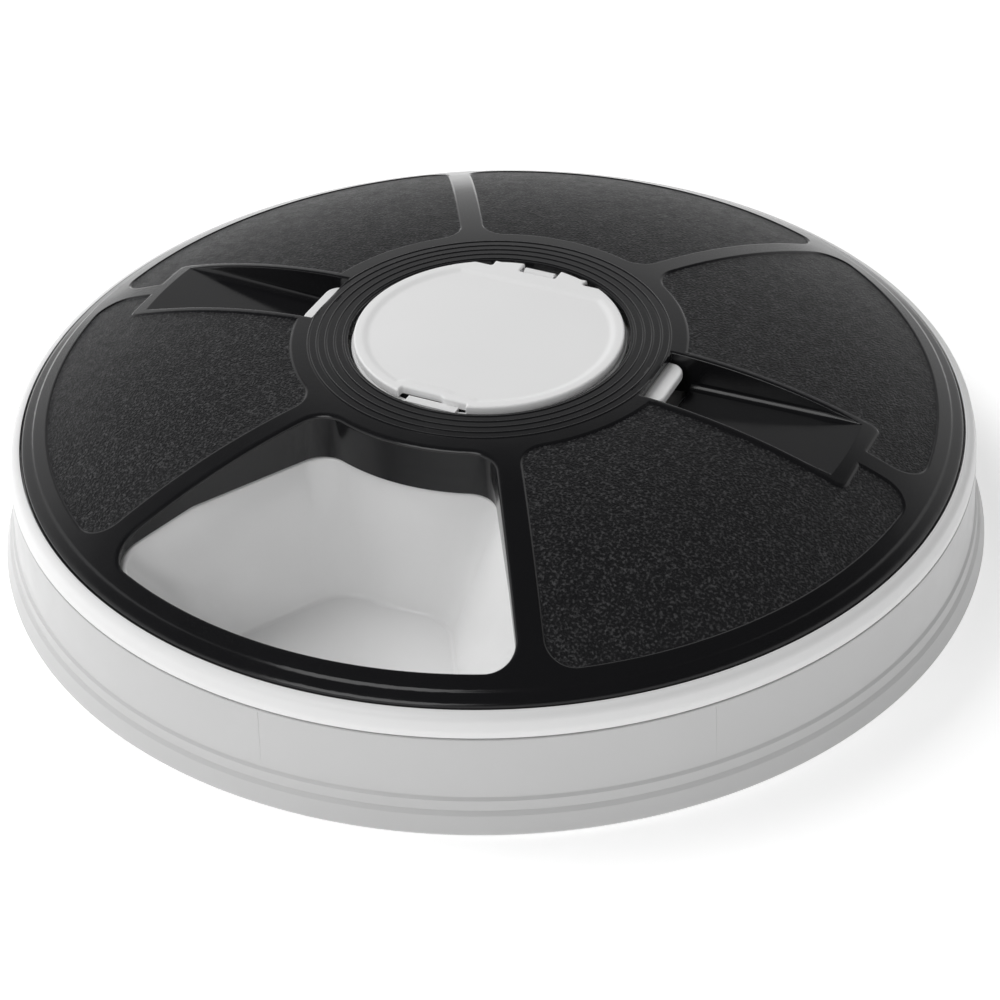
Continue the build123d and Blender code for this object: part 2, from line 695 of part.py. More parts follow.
with BuildPart() as hub_bezel:
    with BuildSketch(Plane.XY.offset(column_top_z)):
        Circle(bezel_outer)
        Circle(bezel_inner, mode=Mode.SUBTRACT)
    extrude(amount=bezel_top_z - column_top_z)
    # ledge that carries the control panel
    with BuildSketch(Plane.XY.offset(panel_low_z - 1.2)):
        Circle(bezel_inner)
        Circle(bezel_inner - 2.2, mode=Mode.SUBTRACT)
    extrude(amount=1.2)
    # bosses under the board
    with BuildSketch(Plane.XY.offset(column_top_z)):
        with Locations((0, 39.0), (0, -39.0)):
            Rectangle(9, 6)
        with Locations((0, board_screw_y), (0, -board_screw_y)):
            Circle(board_screw, mode=Mode.SUBTRACT)
    extrude(amount=board_z - column_top_z)
    for side in (-1, 1):
        with Locations(Pos(side * (bezel_inner + 0.2), 0, (arm_low_z + arm_high_z) / 2)):
            Box(9.0, 2 * (arm_half + fit), arm_high_z - arm_low_z + 2 * fit, mode=Mode.SUBTRACT)
    # pocket for the cover's hinge barrels, with the middle knuckle standing in it
    with Locations(Pos(0, hinge_y + 1.2, hinge_z)):
        Box(2 * 17.6, 7.2, 5.0, mode=Mode.SUBTRACT)
    with BuildSketch(Plane.YZ.offset(-5.2)):
        with Locations((hinge_y, hinge_z)):
            Circle(hinge_barrel)
        with Locations((hinge_y, hinge_z - 1.7)):
            Rectangle(2 * hinge_barrel, 3.4)
        with Locations((hinge_y, hinge_z)):
            Circle(pin_radius, mode=Mode.SUBTRACT)
    extrude(amount=10.4)
    # catch lip in the cover's thumb notch
    with BuildSketch(Plane.XY.offset(bezel_top_z - 2.0)):
        with Locations((0, -41.4)):
            Rectangle(17, 3.2)
        Circle(bezel_outer, mode=Mode.INTERSECT)
    extrude(amount=3.0)
save(hub_bezel.part, "hub_bezel")

guide_inner_x = 21.4
guide_low_z = board_z + board_thick
with BuildPart() as latch_guides:
    for side in (-1, 1):
        with Locations(Pos(side * (guide_inner_x + 10.1), 0, guide_low_z + 0.35)):
            Box(20.2, 2 * (arm_half + 1.6), 0.7)
        for edge in (-1, 1):
            with Locations(Pos(side * (guide_inner_x + 8.6), edge * (arm_half + 0.95), guide_low_z + 2)):
                Box(17.2, 1.3, 4.0)
        with Locations(Pos(side * (guide_inner_x + 0.6), 0, guide_low_z + 2)):
            Box(1.2, 9.0, 4.0)
    with BuildSketch(Plane.XY.offset(guide_low_z)):
        Circle(bezel_inner - 0.1)
    extrude(amount=6, mode=Mode.INTERSECT)
save(latch_guides.part, "latch_guides")

arm_inner_x = 30.5
for side, name in ((1, "right_latch"), (-1, "left_latch")):
    with BuildPart() as latch:
        with BuildSketch(Plane.XY.offset(arm_low_z)):
            with Locations((side * (arm_inner_x + 62) / 2, 0)):
                Rectangle(62 - arm_inner_x, 2 * arm_half)
        extrude(amount=arm_high_z - arm_low_z)
        with BuildSketch(Plane.XY.offset(pad_low_z)) as pad_outline:
            with Locations((side * (48.6 + latch_reach) / 2, 0)):
                Rectangle(latch_reach - 48.6, 2 * pad_half)
            by_reach = pad_outline.vertices().sort_by(lambda v: abs(v.X))
            fillet(by_reach[:2], 1.5)
            by_reach = pad_outline.vertices().sort_by(lambda v: abs(v.X))
            fillet(by_reach[-2:], 7.0)
        extrude(amount=pad_high_z - pad_low_z)
        top_edges = latch.faces().sort_by(Axis.Z)[-1].edges()
        fillet(top_edges, 0.7)
    save(latch.part, name)

spring_wire = 0.2
spring_radius = 1.1
spring_rest = arm_inner_x - guide_inner_x - 1.2
arm_middle_z = (arm_low_z + arm_high_z) / 2
with BuildPart() as latch_spring:
    with BuildLine() as coil:
        Helix(pitch=1.1, height=spring_rest - 3 * spring_wire, radius=spring_radius)
    with BuildSketch(Plane(origin=coil.line @ 0, z_dir=coil.line % 0)):
        Circle(spring_wire)
    sweep(path=coil.line)
lying_spring = Pos(guide_inner_x + 1.2 + 1.5 * spring_wire, 0, arm_middle_z) * Rot(0, 90, 0) * latch_spring.part
save(lying_spring, "right_latch_spring")
save(lying_spring.rotate(Axis.Z, 180), "left_latch_spring")

button_x = (-19.5, -6.5, 6.5, 19.5)
button_y = -16.0
button_radius = 3.6
button_travel = 0.8
button_top_z = 64.2
flange_low_z = 60.9
window = (31.0, 16.0)
window_y = 11.0
lip_y = -39.5

with BuildPart() as control_panel:
    with BuildSketch(Plane.XY.offset(panel_low_z)) as panel_outline:
        Circle(bezel_inner - 0.2)
        with Locations((0, (chord_y - 0.4 + lip_y) / 2)):
            Rectangle(90, chord_y - 0.4 - lip_y, mode=Mode.INTERSECT)
        with Locations((0, window_y)):
            Rectangle(*window, mode=Mode.SUBTRACT)
        with Locations(*[(x, button_y) for x in button_x]):
            Circle(button_radius + fit, mode=Mode.SUBTRACT)
    extrude(amount=panel_top_z - panel_low_z)
    with BuildSketch(Plane.XY.offset(panel_top_z - 0.3)):
        with Locations(*[(x, button_y) for x in button_x]):
            Circle(button_radius + 1.3)
            Circle(button_radius + fit, mode=Mode.SUBTRACT)
    extrude(amount=0.3, mode=Mode.SUBTRACT)
save(control_panel.part, "control_panel")

with BuildPart() as display_lens:
    with BuildSketch(Plane.XY.offset(panel_low_z)):
        with Locations((0, window_y)):
            Rectangle(*window)
    extrude(amount=1.2)
save(display_lens.part, "display_lens")

with BuildPart() as display_module:
    with BuildSketch(Plane.XY.offset(guide_low_z)):
        with Locations((0, window_y)):
            Rectangle(window[0] + 3, window[1] + 3)
    extrude(amount=3.2)
    with BuildSketch(Plane.XY.offset(guide_low_z + 3.2)):
        with Locations((0, window_y)):
            Rectangle(window[0] + 1, window[1] + 1)
    extrude(amount=1.4)
save(display_module.part, "display_module")

for x, name in zip(button_x, ("button_set", "button_up", "button_down", "button_clock")):
    with BuildPart() as button:
        with BuildSketch(Plane.XY.offset(flange_low_z)):
            with Locations((x, button_y)):
                Circle(button_radius + 0.8)
        extrude(amount=0.8)
        with BuildSketch(Plane.XY.offset(flange_low_z)):
            with Locations((x, button_y)):
                Circle(button_radius)
        extrude(amount=button_top_z - flange_low_z)
        fillet(button.faces().sort_by(Axis.Z)[-1].edges(), 0.5)
    save(button.part, name)

with BuildPart() as keypad:
    with BuildSketch(Plane.XY.offset(guide_low_z)) as sheet:
        with Locations((0, button_y)):
            Rectangle(50, 9.6)
        fillet(sheet.vertices(), 2)
    extrude(amount=1.2)
    with BuildSketch(Plane.XY.offset(guide_low_z + 1.2)):
        with Locations(*[(x, button_y) for x in button_x]):
            Circle(3.0)
    extrude(amount=1.7, taper=12)
save(keypad.part, "keypad")

with BuildPart() as main_board:
    with BuildSketch(Plane.XY.offset(board_z)):
        Circle(40.0)
        with Locations((0, board_screw_y), (0, -board_screw_y)):
            Circle(board_screw, mode=Mode.SUBTRACT)
    extrude(amount=board_thick)
save(main_board.part, "main_board")

with BuildPart() as board_screws:
    for side in (-1, 1):
        with Locations(Pos(0, side * board_screw_y, column_top_z + 0.4)):
            Cylinder(board_screw, board_z + board_thick - column_top_z - 0.4,
                     align=(Align.CENTER, Align.CENTER, Align.MIN))
        with Locations(Pos(0, side * board_screw_y, board_z + board_thick)):
            Cylinder(1.8, 1.2, align=(Align.CENTER, Align.CENTER, Align.MIN))
        with Locations(Pos(0, side * board_screw_y, board_z + board_thick + 1.0)):
            Box(2.4, 0.5, 0.6, mode=Mode.SUBTRACT)
save(board_screws.part, "board_screws")

with BuildPart() as controller_chip:
    with BuildSketch(Plane.XY.offset(board_z - 1.6)):
        with Locations((-12, 6)):
            Rectangle(12, 12)
    extrude(amount=1.6)
save(controller_chip.part, "controller_chip")

with BuildPart() as buzzer:
    with BuildSketch(Plane.XY.offset(board_z - 6.0)):
        with Locations((14, -14)):
            Circle(6.0)
            Circle(1.0, mode=Mode.SUBTRACT)
    extrude(amount=6.0)
save(buzzer.part, "buzzer")

lead = 0.6


def leads(name, routes, bend):
    """Insulated leads: straight runs with round bends, one solid each."""
    with BuildPart() as wires:
        for route in routes:
            with BuildLine() as run:
                FilletPolyline(*route, radius=bend)
            with BuildSketch(Plane(origin=run.line @ 0, z_dir=run.line % 0)):
                Circle(lead)
            sweep(path=run.line)
    save(wires.part, name)


leads("motor_leads", [
    [(terminal_x + 0.3, motor_at[1] + side * terminal_y, 6.1), (lead_x, motor_at[1] + side * terminal_y, 6.1),
     (lead_x, motor_at[1] + side * terminal_y, 43.0), (lead_x, 31.0 + side * terminal_y, 50.0),
     (lead_x, 31.0 + side * terminal_y, board_z)]
    for side in (-1, 1)
], 3.0)
leads("battery_leads", [
    [(24.5 + side * 1.5, -24.0, box_top_z), (24.5 + side * 1.5, -24.0, 40.0), (26 + side * 1.5, -18.0, 48.0),
     (26 + side * 1.5, -18.0, board_z)]
    for side in (-1, 1)
], 2.5)

# ---- cover over the controls ----------------------------------------------------------------------------
cover_low_z = 64.8
cover_disc_z = 66.6
notch_half = 11.7
notch_y = -38.6
rim_width = 2.6
tab_from, tab_to = 6.2, 16.4

with BuildPart() as control_cover:
    with BuildSketch(Plane.XY.offset(cover_low_z)) as cover_outline:
        Circle(cover_radius)
        with Locations((0, chord_y - 50)):
            Rectangle(100, 100, mode=Mode.INTERSECT)
        with Locations((0, notch_y - 10)):
            RectangleRounded(2 * notch_half, 20, 1.5, mode=Mode.SUBTRACT)
    extrude(amount=cover_top_z - cover_low_z)
    # sunk disc inside a raised rim that also runs along the chord and round the notch
    with BuildSketch(Plane.XY.offset(cover_disc_z)) as disc_outline:
        Circle(cover_radius - rim_width)
        with Locations((0, chord_y - rim_width - 50)):
            Rectangle(100, 100, mode=Mode.INTERSECT)
        with Locations((0, notch_y - 10 + rim_width)):
            RectangleRounded(2 * (notch_half + rim_width), 20, 2.5, mode=Mode.SUBTRACT)
    extrude(amount=2, mode=Mode.SUBTRACT)
    with BuildSketch(Plane.XY.offset(cover_low_z)):
        add(disc_outline.sketch)
    extrude(amount=0.5, mode=Mode.SUBTRACT)
    for low, high in ((tab_from, tab_to), (-tab_to, -tab_from)):
        with BuildSketch(Plane.YZ.offset(low)):
            with Locations((hinge_y, hinge_z)):
                Circle(hinge_barrel)
            with Locations(((hinge_y + chord_y - 1) / 2, hinge_z + 0.9)):
                Rectangle(hinge_y - chord_y + 1, 2 * hinge_barrel - 1.8)
        extrude(amount=high - low)
        with BuildSketch(Plane.YZ.offset(low)):
            with Locations((hinge_y, hinge_z)):
                Circle(pin_radius + running_gap)
        extrude(amount=high - low, mode=Mode.SUBTRACT)
save(control_cover.part, "control_cover")

with BuildPart() as cover_hinge_pin:
    with BuildSketch(Plane.YZ.offset(-pin_half)):
        with Locations((hinge_y, hinge_z)):
            Circle(pin_radius)
    extrude(amount=2 * pin_half)
save(cover_hinge_pin.part, "cover_hinge_pin")

with BuildPart() as index_magnets:
    with BuildSketch(Plane.XY.offset(gear_high_z + 0.2)):
        Circle(hub_inner)
        Circle(hub_inner - 1.4, mode=Mode.SUBTRACT)
        with PolarLocations(hub_inner, compartments, start_angle=30):
            Rectangle(6, 3, mode=Mode.INTERSECT)
    extrude(amount=2.2)
save(index_magnets.part, "index_magnets")
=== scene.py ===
import bpy
import bmesh
import json
import math
import numpy as np
from mathutils import Matrix, Vector
from mathutils.geometry import delaunay_2d_cdt
from mathutils.kdtree import KDTree


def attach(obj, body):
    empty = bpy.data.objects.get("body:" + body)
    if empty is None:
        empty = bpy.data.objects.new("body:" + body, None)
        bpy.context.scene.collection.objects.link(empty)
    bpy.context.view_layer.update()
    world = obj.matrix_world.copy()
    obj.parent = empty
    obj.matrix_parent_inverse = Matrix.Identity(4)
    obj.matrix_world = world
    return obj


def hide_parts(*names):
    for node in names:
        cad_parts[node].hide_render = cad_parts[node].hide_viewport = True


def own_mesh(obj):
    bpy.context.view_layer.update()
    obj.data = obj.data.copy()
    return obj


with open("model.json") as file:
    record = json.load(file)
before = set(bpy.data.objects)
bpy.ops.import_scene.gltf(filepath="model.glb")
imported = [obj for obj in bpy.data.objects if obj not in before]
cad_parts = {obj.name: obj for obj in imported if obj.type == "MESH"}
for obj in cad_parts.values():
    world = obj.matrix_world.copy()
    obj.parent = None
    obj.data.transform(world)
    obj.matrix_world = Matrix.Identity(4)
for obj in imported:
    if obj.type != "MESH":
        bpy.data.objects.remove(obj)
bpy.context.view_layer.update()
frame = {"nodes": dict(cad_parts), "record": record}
MM = 0.001

# ---- camera -------------------------------------------------------------------------------------------
VIEW_AZIMUTH = math.radians(26.16)
VIEW_ELEVATION = math.radians(34.79)
VIEW_ROLL = math.radians(-1.82)
VIEW_DISTANCE = 0.850
VIEW_TARGET = Vector((0, 0, 0.030))
LENS_MM = 94.18
SHIFT = (0.0079, -0.0725)
SENSOR_MM = 36
CLIP_START = 0.01


def add_camera():
    away = Vector((
        math.sin(VIEW_AZIMUTH) * math.cos(VIEW_ELEVATION),
        -math.cos(VIEW_AZIMUTH) * math.cos(VIEW_ELEVATION),
        math.sin(VIEW_ELEVATION),
    ))
    camera = bpy.data.objects.new("camera", bpy.data.cameras.new("camera"))
    turn = away.to_track_quat("Z", "Y").to_matrix().to_4x4() @ Matrix.Rotation(VIEW_ROLL, 4, "Z")
    camera.matrix_world = Matrix.Translation(VIEW_TARGET + away * VIEW_DISTANCE) @ turn
    camera.data.lens = LENS_MM
    camera.data.sensor_width = SENSOR_MM
    camera.data.shift_x, camera.data.shift_y = SHIFT
    camera.data.clip_start = CLIP_START
    bpy.context.collection.objects.link(camera)
    bpy.context.scene.camera = camera


# ---- studio -------------------------------------------------------------------------------------------
# Each world stop is the sine of the elevation and the brightness there.
# The key lights the white parts from the back left, and isn't mirrored in the black lid.
WORLD_STOPS = ((0.0, 1.0), (0.44, 0.92), (0.56, 0.50), (0.66, 0.12), (0.80, 0.05), (1.0, 0.06))
WORLD_STRENGTH = 0.70
KEY = dict(place=(-0.92, 0.16, 1.15), size=(1.0, 1.0), power=14, mirrored=False)
FILL = dict(place=(-0.12, -0.89, 0.9), size=(0.7, 0.7), power=3.5, mirrored=True)
LIGHT_AIM = (0, 0, 0.03)
FLOOR_HALF = 6.0
FLOOR_Z = -0.0002
FLOOR_TONE = 0.93
FLOOR_GLOW = 0.48


def add_area_light(name, place, size, power, mirrored):
    light = bpy.data.lights.new(name, "AREA")
    light.shape = "RECTANGLE"
    light.size, light.size_y = size
    light.energy = power
    lamp = bpy.data.objects.new(name, light)
    direction = Vector(place) - Vector(LIGHT_AIM)
    lamp.matrix_world = Matrix.Translation(place) @ direction.to_track_quat("Z", "Y").to_matrix().to_4x4()
    lamp.visible_glossy = mirrored
    bpy.context.collection.objects.link(lamp)


def add_world():
    """A pale studio: bright near the horizon, darker overhead, so that glossy tops keep their depth."""
    world = bpy.data.worlds.new("studio")
    bpy.context.scene.world = world
    world.use_nodes = True
    tree = world.node_tree
    tree.nodes.clear()
    output = tree.nodes.new("ShaderNodeOutputWorld")
    background = tree.nodes.new("ShaderNodeBackground")
    coordinate = tree.nodes.new("ShaderNodeTexCoord")
    split = tree.nodes.new("ShaderNodeSeparateXYZ")
    ramp = tree.nodes.new("ShaderNodeValToRGB")
    tree.links.new(coordinate.outputs["Generated"], split.inputs[0])
    tree.links.new(split.outputs["Z"], ramp.inputs["Fac"])
    tree.links.new(ramp.outputs["Color"], background.inputs["Color"])
    tree.links.new(background.outputs[0], output.inputs[0])
    elements = ramp.color_ramp.elements
    for position, level in WORLD_STOPS[1:-1]:
        elements.new(position).color = (level, level, level, 1)
    for element, (_, level) in ((elements[0], WORLD_STOPS[0]), (elements[-1], WORLD_STOPS[-1])):
        element.color = (level, level, level, 1)
    background.inputs["Strength"].default_value = WORLD_STRENGTH


def add_floor():
    mesh = bpy.data.meshes.new("floor")
    corners = [(FLOOR_HALF * i, FLOOR_HALF * j, 0) for i, j in ((-1, -1), (1, -1), (1, 1), (-1, 1))]
    mesh.from_pydata(corners, [], [(0, 1, 2, 3)])
    floor = bpy.data.objects.new("floor", mesh)
    floor.location.z = FLOOR_Z
    bpy.context.collection.objects.link(floor)
    material = bpy.data.materials.new("studio_floor")
    material.use_nodes = True
    shader = material.node_tree.nodes["Principled BSDF"]
    shader.inputs["Base Color"].default_value = (FLOOR_TONE, FLOOR_TONE, FLOOR_TONE, 1)
    shader.inputs["Roughness"].default_value = 0.9
    shader.inputs["Emission Color"].default_value = (1, 1, 1, 1)
    shader.inputs["Emission Strength"].default_value = FLOOR_GLOW
    floor.data.materials.append(material)


# ---- materials ----------------------------------------------------------------------------------------
# Feature sizes in metres. Most of a noise texture's values lie between NOISE_LOW and NOISE_HIGH.
NOISE_LOW = 0.3
NOISE_HIGH = 0.7
FLOW_SIZE = 0.05
GLOSS_SIZE = 0.011
RIPPLE_SIZE = 0.0016
RIPPLE_STRENGTH = 0.35
EDGE_WIDTH = 0.35 * MM
EDGE_ANGLE = math.radians(40)


class Finish:
    """A procedural material whose patterns sit in the object's own frame, in metres."""

    def __init__(self, name, colour, roughness, **constants):
        self.material = bpy.data.materials.new(name)
        self.material.use_nodes = True
        self.tree = self.material.node_tree
        self.shader = self.tree.nodes["Principled BSDF"]
        self.shader.inputs["Base Color"].default_value = (*colour, 1)
        self.shader.inputs["Roughness"].default_value = roughness
        for socket, value in constants.items():
            self.shader.inputs[socket.replace("_", " ")].default_value = value
        self.place = self.tree.nodes.new("ShaderNodeTexCoord").outputs["Object"]
        self.normal = None

    def node(self, kind, **settings):
        made = self.tree.nodes.new(kind)
        for key, value in settings.items():
            setattr(made, key, value)
        return made

    def link(self, source, target):
        self.tree.links.new(source, target)

    def noise(self, size, detail):
        """Noise with features of about size metres."""
        texture = self.node("ShaderNodeTexNoise")
        texture.inputs["Scale"].default_value = 1 / size
        texture.inputs["Detail"].default_value = detail
        self.link(self.place, texture.inputs["Vector"])
        return texture.outputs["Fac"]

    def cells(self, size):
        texture = self.node("ShaderNodeTexVoronoi", feature="F1")
        texture.inputs["Scale"].default_value = 1 / size
        self.link(self.place, texture.inputs["Vector"])
        return texture.outputs["Distance"]

    def remap(self, value, low, high, to_low, to_high):
        node = self.node("ShaderNodeMapRange")
        self.link(value, node.inputs["Value"])
        for index, number in enumerate((low, high, to_low, to_high), start=1):
            node.inputs[index].default_value = number
        return node.outputs[0]

    def rough_between(self, value, low, high):
        spread = self.remap(value, NOISE_LOW, NOISE_HIGH, low, high)
        self.link(spread, self.shader.inputs["Roughness"])

    def colour_between(self, value, first, second):
        mix = self.node("ShaderNodeMix", data_type="RGBA")
        self.link(value, mix.inputs["Factor"])
        # inputs 6 and 7 are the colour mix's two ends, and output 2 is its result
        mix.inputs[6].default_value = (*first, 1)
        mix.inputs[7].default_value = (*second, 1)
        self.link(mix.outputs[2], self.shader.inputs["Base Color"])

    def bump(self, height, depth, strength):
        """Adds a bump of the given depth in metres on top of those before it."""
        node = self.node("ShaderNodeBump")
        node.inputs["Strength"].default_value = strength
        node.inputs["Distance"].default_value = depth
        self.link(height, node.inputs["Height"])
        if self.normal:
            self.link(self.normal, node.inputs["Normal"])
        self.normal = node.outputs[0]
        self.link(self.normal, self.shader.inputs["Normal"])


def moulded_plastic(name, colour, roughness, ripple=0.00002, spread=0.06, coat=0.0, shade=0.94, **constants):
    """Injection-moulded plastic: faint flow shading, uneven gloss and a slight orange-peel ripple."""
    finish = Finish(name, colour, roughness, Coat_Weight=coat, Coat_Roughness=0.12, **constants)
    finish.colour_between(finish.noise(FLOW_SIZE, 2), [c * shade for c in colour], colour)
    finish.rough_between(finish.noise(GLOSS_SIZE, 4), roughness - spread, roughness + spread)
    finish.bump(finish.noise(RIPPLE_SIZE, 2), ripple, RIPPLE_STRENGTH)
    return finish


def grained_plastic():
    """The lid's panels: black, with a fine grain and paler specks painted in as the grain's glints."""
    pit, glint_tone = (0.006, 0.006, 0.007), (0.060, 0.060, 0.062)
    grain = Finish("lid_grain", pit, 0.46, Specular_IOR_Level=0.34)
    # paler specks painted into the colour: painted highlights standing in for glints where the grain catches
    # the light
    painted_glints = grain.remap(grain.noise(0.0009, 2), 0.50, 0.72, 0, 1)
    grain.colour_between(painted_glints, pit, glint_tone)
    grain.rough_between(grain.noise(0.004, 3), 0.44, 0.54)
    grain.bump(grain.cells(0.0007), 0.00022, 0.9)
    grain.bump(grain.noise(0.0005, 3), 0.00016, 0.8)
    return grain


def build_materials():
    made = {}
    # the lower shell is the same white plastic as the deck; its darker tone is painted shade for its upright
    # wall
    made["white_shell"] = moulded_plastic("white_shell", (0.57, 0.57, 0.57), 0.34)
    made["white_deck"] = moulded_plastic("white_deck", (0.84, 0.84, 0.84), 0.38, ripple=0.00001, spread=0.02)
    made["tray_white"] = moulded_plastic("tray_white", (0.88, 0.88, 0.88), 0.14, coat=0.3)
    made["cover_white"] = moulded_plastic("cover_white", (0.90, 0.90, 0.90), 0.36, spread=0.03)
    made["lid_black"] = moulded_plastic("lid_black", (0.009, 0.009, 0.010), 0.17, spread=0.03, shade=0.8)
    made["lid_grain"] = grained_plastic()
    made["foot_rubber"] = moulded_plastic("foot_rubber", (0.04, 0.04, 0.04), 0.75, ripple=0.00006)
    made["gear_plastic"] = moulded_plastic("gear_plastic", (0.80, 0.78, 0.70), 0.42)
    made["steel"] = moulded_plastic("steel", (0.55, 0.55, 0.56), 0.30, Metallic=1.0)
    made["motor_can"] = moulded_plastic("motor_can", (0.50, 0.50, 0.52), 0.36, Metallic=1.0)
    made["grey_plastic"] = moulded_plastic("grey_plastic", (0.30, 0.30, 0.31), 0.5)
    made["panel_black"] = moulded_plastic("panel_black", (0.02, 0.02, 0.024), 0.22, coat=0.4)
    made["lens_clear"] = moulded_plastic("lens_clear", (0.85, 0.88, 0.88), 0.06, Transmission_Weight=1.0)
    made["lcd"] = moulded_plastic("lcd", (0.34, 0.41, 0.35), 0.3)
    made["button_grey"] = moulded_plastic("button_grey", (0.42, 0.42, 0.44), 0.6)
    made["silicone"] = moulded_plastic("silicone", (0.6, 0.6, 0.6), 0.55)
    made["board_green"] = moulded_plastic("board_green", (0.02, 0.15, 0.06), 0.35)
    made["chip_black"] = moulded_plastic("chip_black", (0.02, 0.02, 0.02), 0.45)
    made["cell_jacket"] = moulded_plastic("cell_jacket", (0.20, 0.15, 0.05), 0.3, Metallic=0.6)
    made["contact"] = moulded_plastic("contact", (0.7, 0.69, 0.66), 0.25, Metallic=1.0)
    made["magnet"] = moulded_plastic("magnet", (0.4, 0.4, 0.42), 0.3, Metallic=1.0)
    made["wire"] = moulded_plastic("wire", (0.5, 0.03, 0.02), 0.45)
    return {name: finish.material for name, finish in made.items()}


def paint_cad_nodes(materials):
    """Every carried-over CAD node gets its slot's procedural finish and lightly rounded edges."""
    slots = {row["node"]: row["material_slot"] for row in frame["record"]["subparts"]}
    for name, obj in frame["nodes"].items():
        for slot in obj.material_slots:
            slot.material = materials[slots[name]]
        rounding = obj.modifiers.new("rounding", "BEVEL")
        rounding.width = EDGE_WIDTH
        rounding.segments = 2
        rounding.limit_method = "ANGLE"
        rounding.angle_limit = EDGE_ANGLE
        rounding.harden_normals = True


# ---- mesh tools: shapes are worked out in millimetres -------------------------------------------------
SPOKE_HALF_ANGLE = math.radians(30)      # between a compartment's middle and the spoke beside it
ARC_POINTS = 6                           # points along a small rounded corner
HUB_COUNT = 240                          # points round the circles at the hub and at the rim
RIM_COUNT = 480
SIDE_COUNT = 60                          # points along each side of a recess
SHARP_ANGLE = math.radians(38)           # edges that turn by more than this stay crisp
WELD_DISTANCE = 0.004 * MM
SLIVER_LENGTH = 1e-7


def smooth(value):
    """Rises from 0 to 1 with level ends."""
    held = np.clip(value, 0, 1)
    return held * held * (3 - 2 * held)


def roll(distance, radius):
    """How far a rounded edge has dropped at a distance from it, for a quarter-round of that radius."""
    back = np.clip(radius - distance, 0, radius)
    return radius - np.sqrt(radius**2 - back**2)


def circle_points(radius, count):
    angle = np.linspace(0, 2 * math.pi, count, endpoint=False)
    return np.column_stack((radius * np.cos(angle), radius * np.sin(angle)))


def turned(points, degrees):
    c, s = math.cos(math.radians(degrees)), math.sin(math.radians(degrees))
    return np.column_stack((points[:, 0] * c - points[:, 1] * s, points[:, 0] * s + points[:, 1] * c))


def wedge_loop(wedge, shift, turn):
    """A compartment's outline moved inwards by shift: always the same number of points.

    A wedge is (inner radius, outer radius, inset from the spoke's middle, corner radius).
    """
    inner, outer, inset, corner = wedge[0] + shift, wedge[1] - shift, wedge[2] + shift, wedge[3] - shift
    lean = SPOKE_HALF_ANGLE

    def from_spoke(along, off):
        return np.column_stack((
            along * math.cos(lean) + off * math.sin(lean), along * math.sin(lean) - off * math.cos(lean),
        ))

    far = math.sqrt((outer - corner) ** 2 - (inset + corner) ** 2)
    near = math.sqrt((inner + corner) ** 2 - (inset + corner) ** 2)
    far_centre = from_spoke(far, inset + corner)[0]
    near_centre = from_spoke(near, inset + corner)[0]
    far_angle = math.atan2(far_centre[1], far_centre[0])
    near_angle = math.atan2(near_centre[1], near_centre[0])
    square = math.pi / 2 + lean

    def arc(centre, radius, first, last, count):
        angle = np.linspace(first, last, count)
        return np.column_stack((centre[0] + radius * np.cos(angle), centre[1] + radius * np.sin(angle)))

    half = np.vstack((
        arc((0, 0), inner, 0, near_angle, 18)[:-1],
        arc(near_centre, corner, near_angle + math.pi, square, 14),
        from_spoke(np.linspace(near, far, 48), inset)[1:-1],
        arc(far_centre, corner, square, far_angle, 14),
        arc((0, 0), outer, far_angle, 0, 40)[1:],
    ))
    mirror = half[1:-1][::-1] * (1, -1)
    return turned(np.vstack((half, mirror)), turn)


def wedge_distance(x, y, wedge, turn):
    """Signed distance to a compartment's outline, negative inside."""
    inner, outer, inset, corner = wedge
    angle = math.radians(-turn)
    u = x * math.cos(angle) - y * math.sin(angle)
    v = np.abs(x * math.sin(angle) + y * math.cos(angle))
    off = u * math.sin(SPOKE_HALF_ANGLE) - v * math.cos(SPOKE_HALF_ANGLE)
    along = u * math.cos(SPOKE_HALF_ANGLE) + v * math.sin(SPOKE_HALF_ANGLE)
    radius = np.maximum(np.hypot(u, v), 1e-6)
    core_off, low, high = inset + corner, inner + corner, outer - corner
    near = math.sqrt(low**2 - core_off**2)
    far = math.sqrt(high**2 - core_off**2)
    core = (off >= core_off) & (radius >= low) & (radius <= high)
    cases = [
        core,
        (off < core_off) & (along >= near) & (along <= far),
        (radius > high) & (off * high / radius >= core_off),
        (radius < low) & (off * low / radius >= core_off),
    ]
    values = [
        -np.minimum(off - core_off, np.minimum(high - radius, radius - low)),
        core_off - off,
        radius - high,
        low - radius,
    ]
    to_corner = np.minimum(np.hypot(along - near, off - core_off), np.hypot(along - far, off - core_off))
    return np.select(cases, values, to_corner) - corner


def quad_loop(corners, grow, count):
    """A convex outline with its corners rounded by grow, count points along each side."""
    points = []
    total = len(corners)
    for i, here in enumerate(corners):
        before, after = corners[i - 1], corners[(i + 1) % total]
        first = math.atan2(here[1] - before[1], here[0] - before[0]) - math.pi / 2
        last = math.atan2(after[1] - here[1], after[0] - here[0]) - math.pi / 2
        if last < first:
            last += 2 * math.pi
        for angle in np.linspace(first, last, ARC_POINTS):
            points.append((here[0] + grow * math.cos(angle), here[1] + grow * math.sin(angle)))
        side = np.linspace(here, after, count + 2)[1:-1]
        points += [tuple(p + grow * np.array((math.cos(last), math.sin(last)))) for p in side]
    return np.array(points)


def quad_distance(x, y, corners):
    """Signed distance to a convex outline given anticlockwise, negative inside."""
    nearest = np.full(x.shape, np.inf)
    inside = np.ones(x.shape, bool)
    for i, (ax, ay) in enumerate(corners):
        bx, by = corners[(i + 1) % len(corners)]
        ex, ey = bx - ax, by - ay
        share = np.clip(((x - ax) * ex + (y - ay) * ey) / (ex**2 + ey**2), 0, 1)
        nearest = np.minimum(nearest, np.hypot(x - ax - share * ex, y - ay - share * ey))
        inside &= ex * (y - ay) - ey * (x - ax) >= 0
    return np.where(inside, -nearest, nearest)


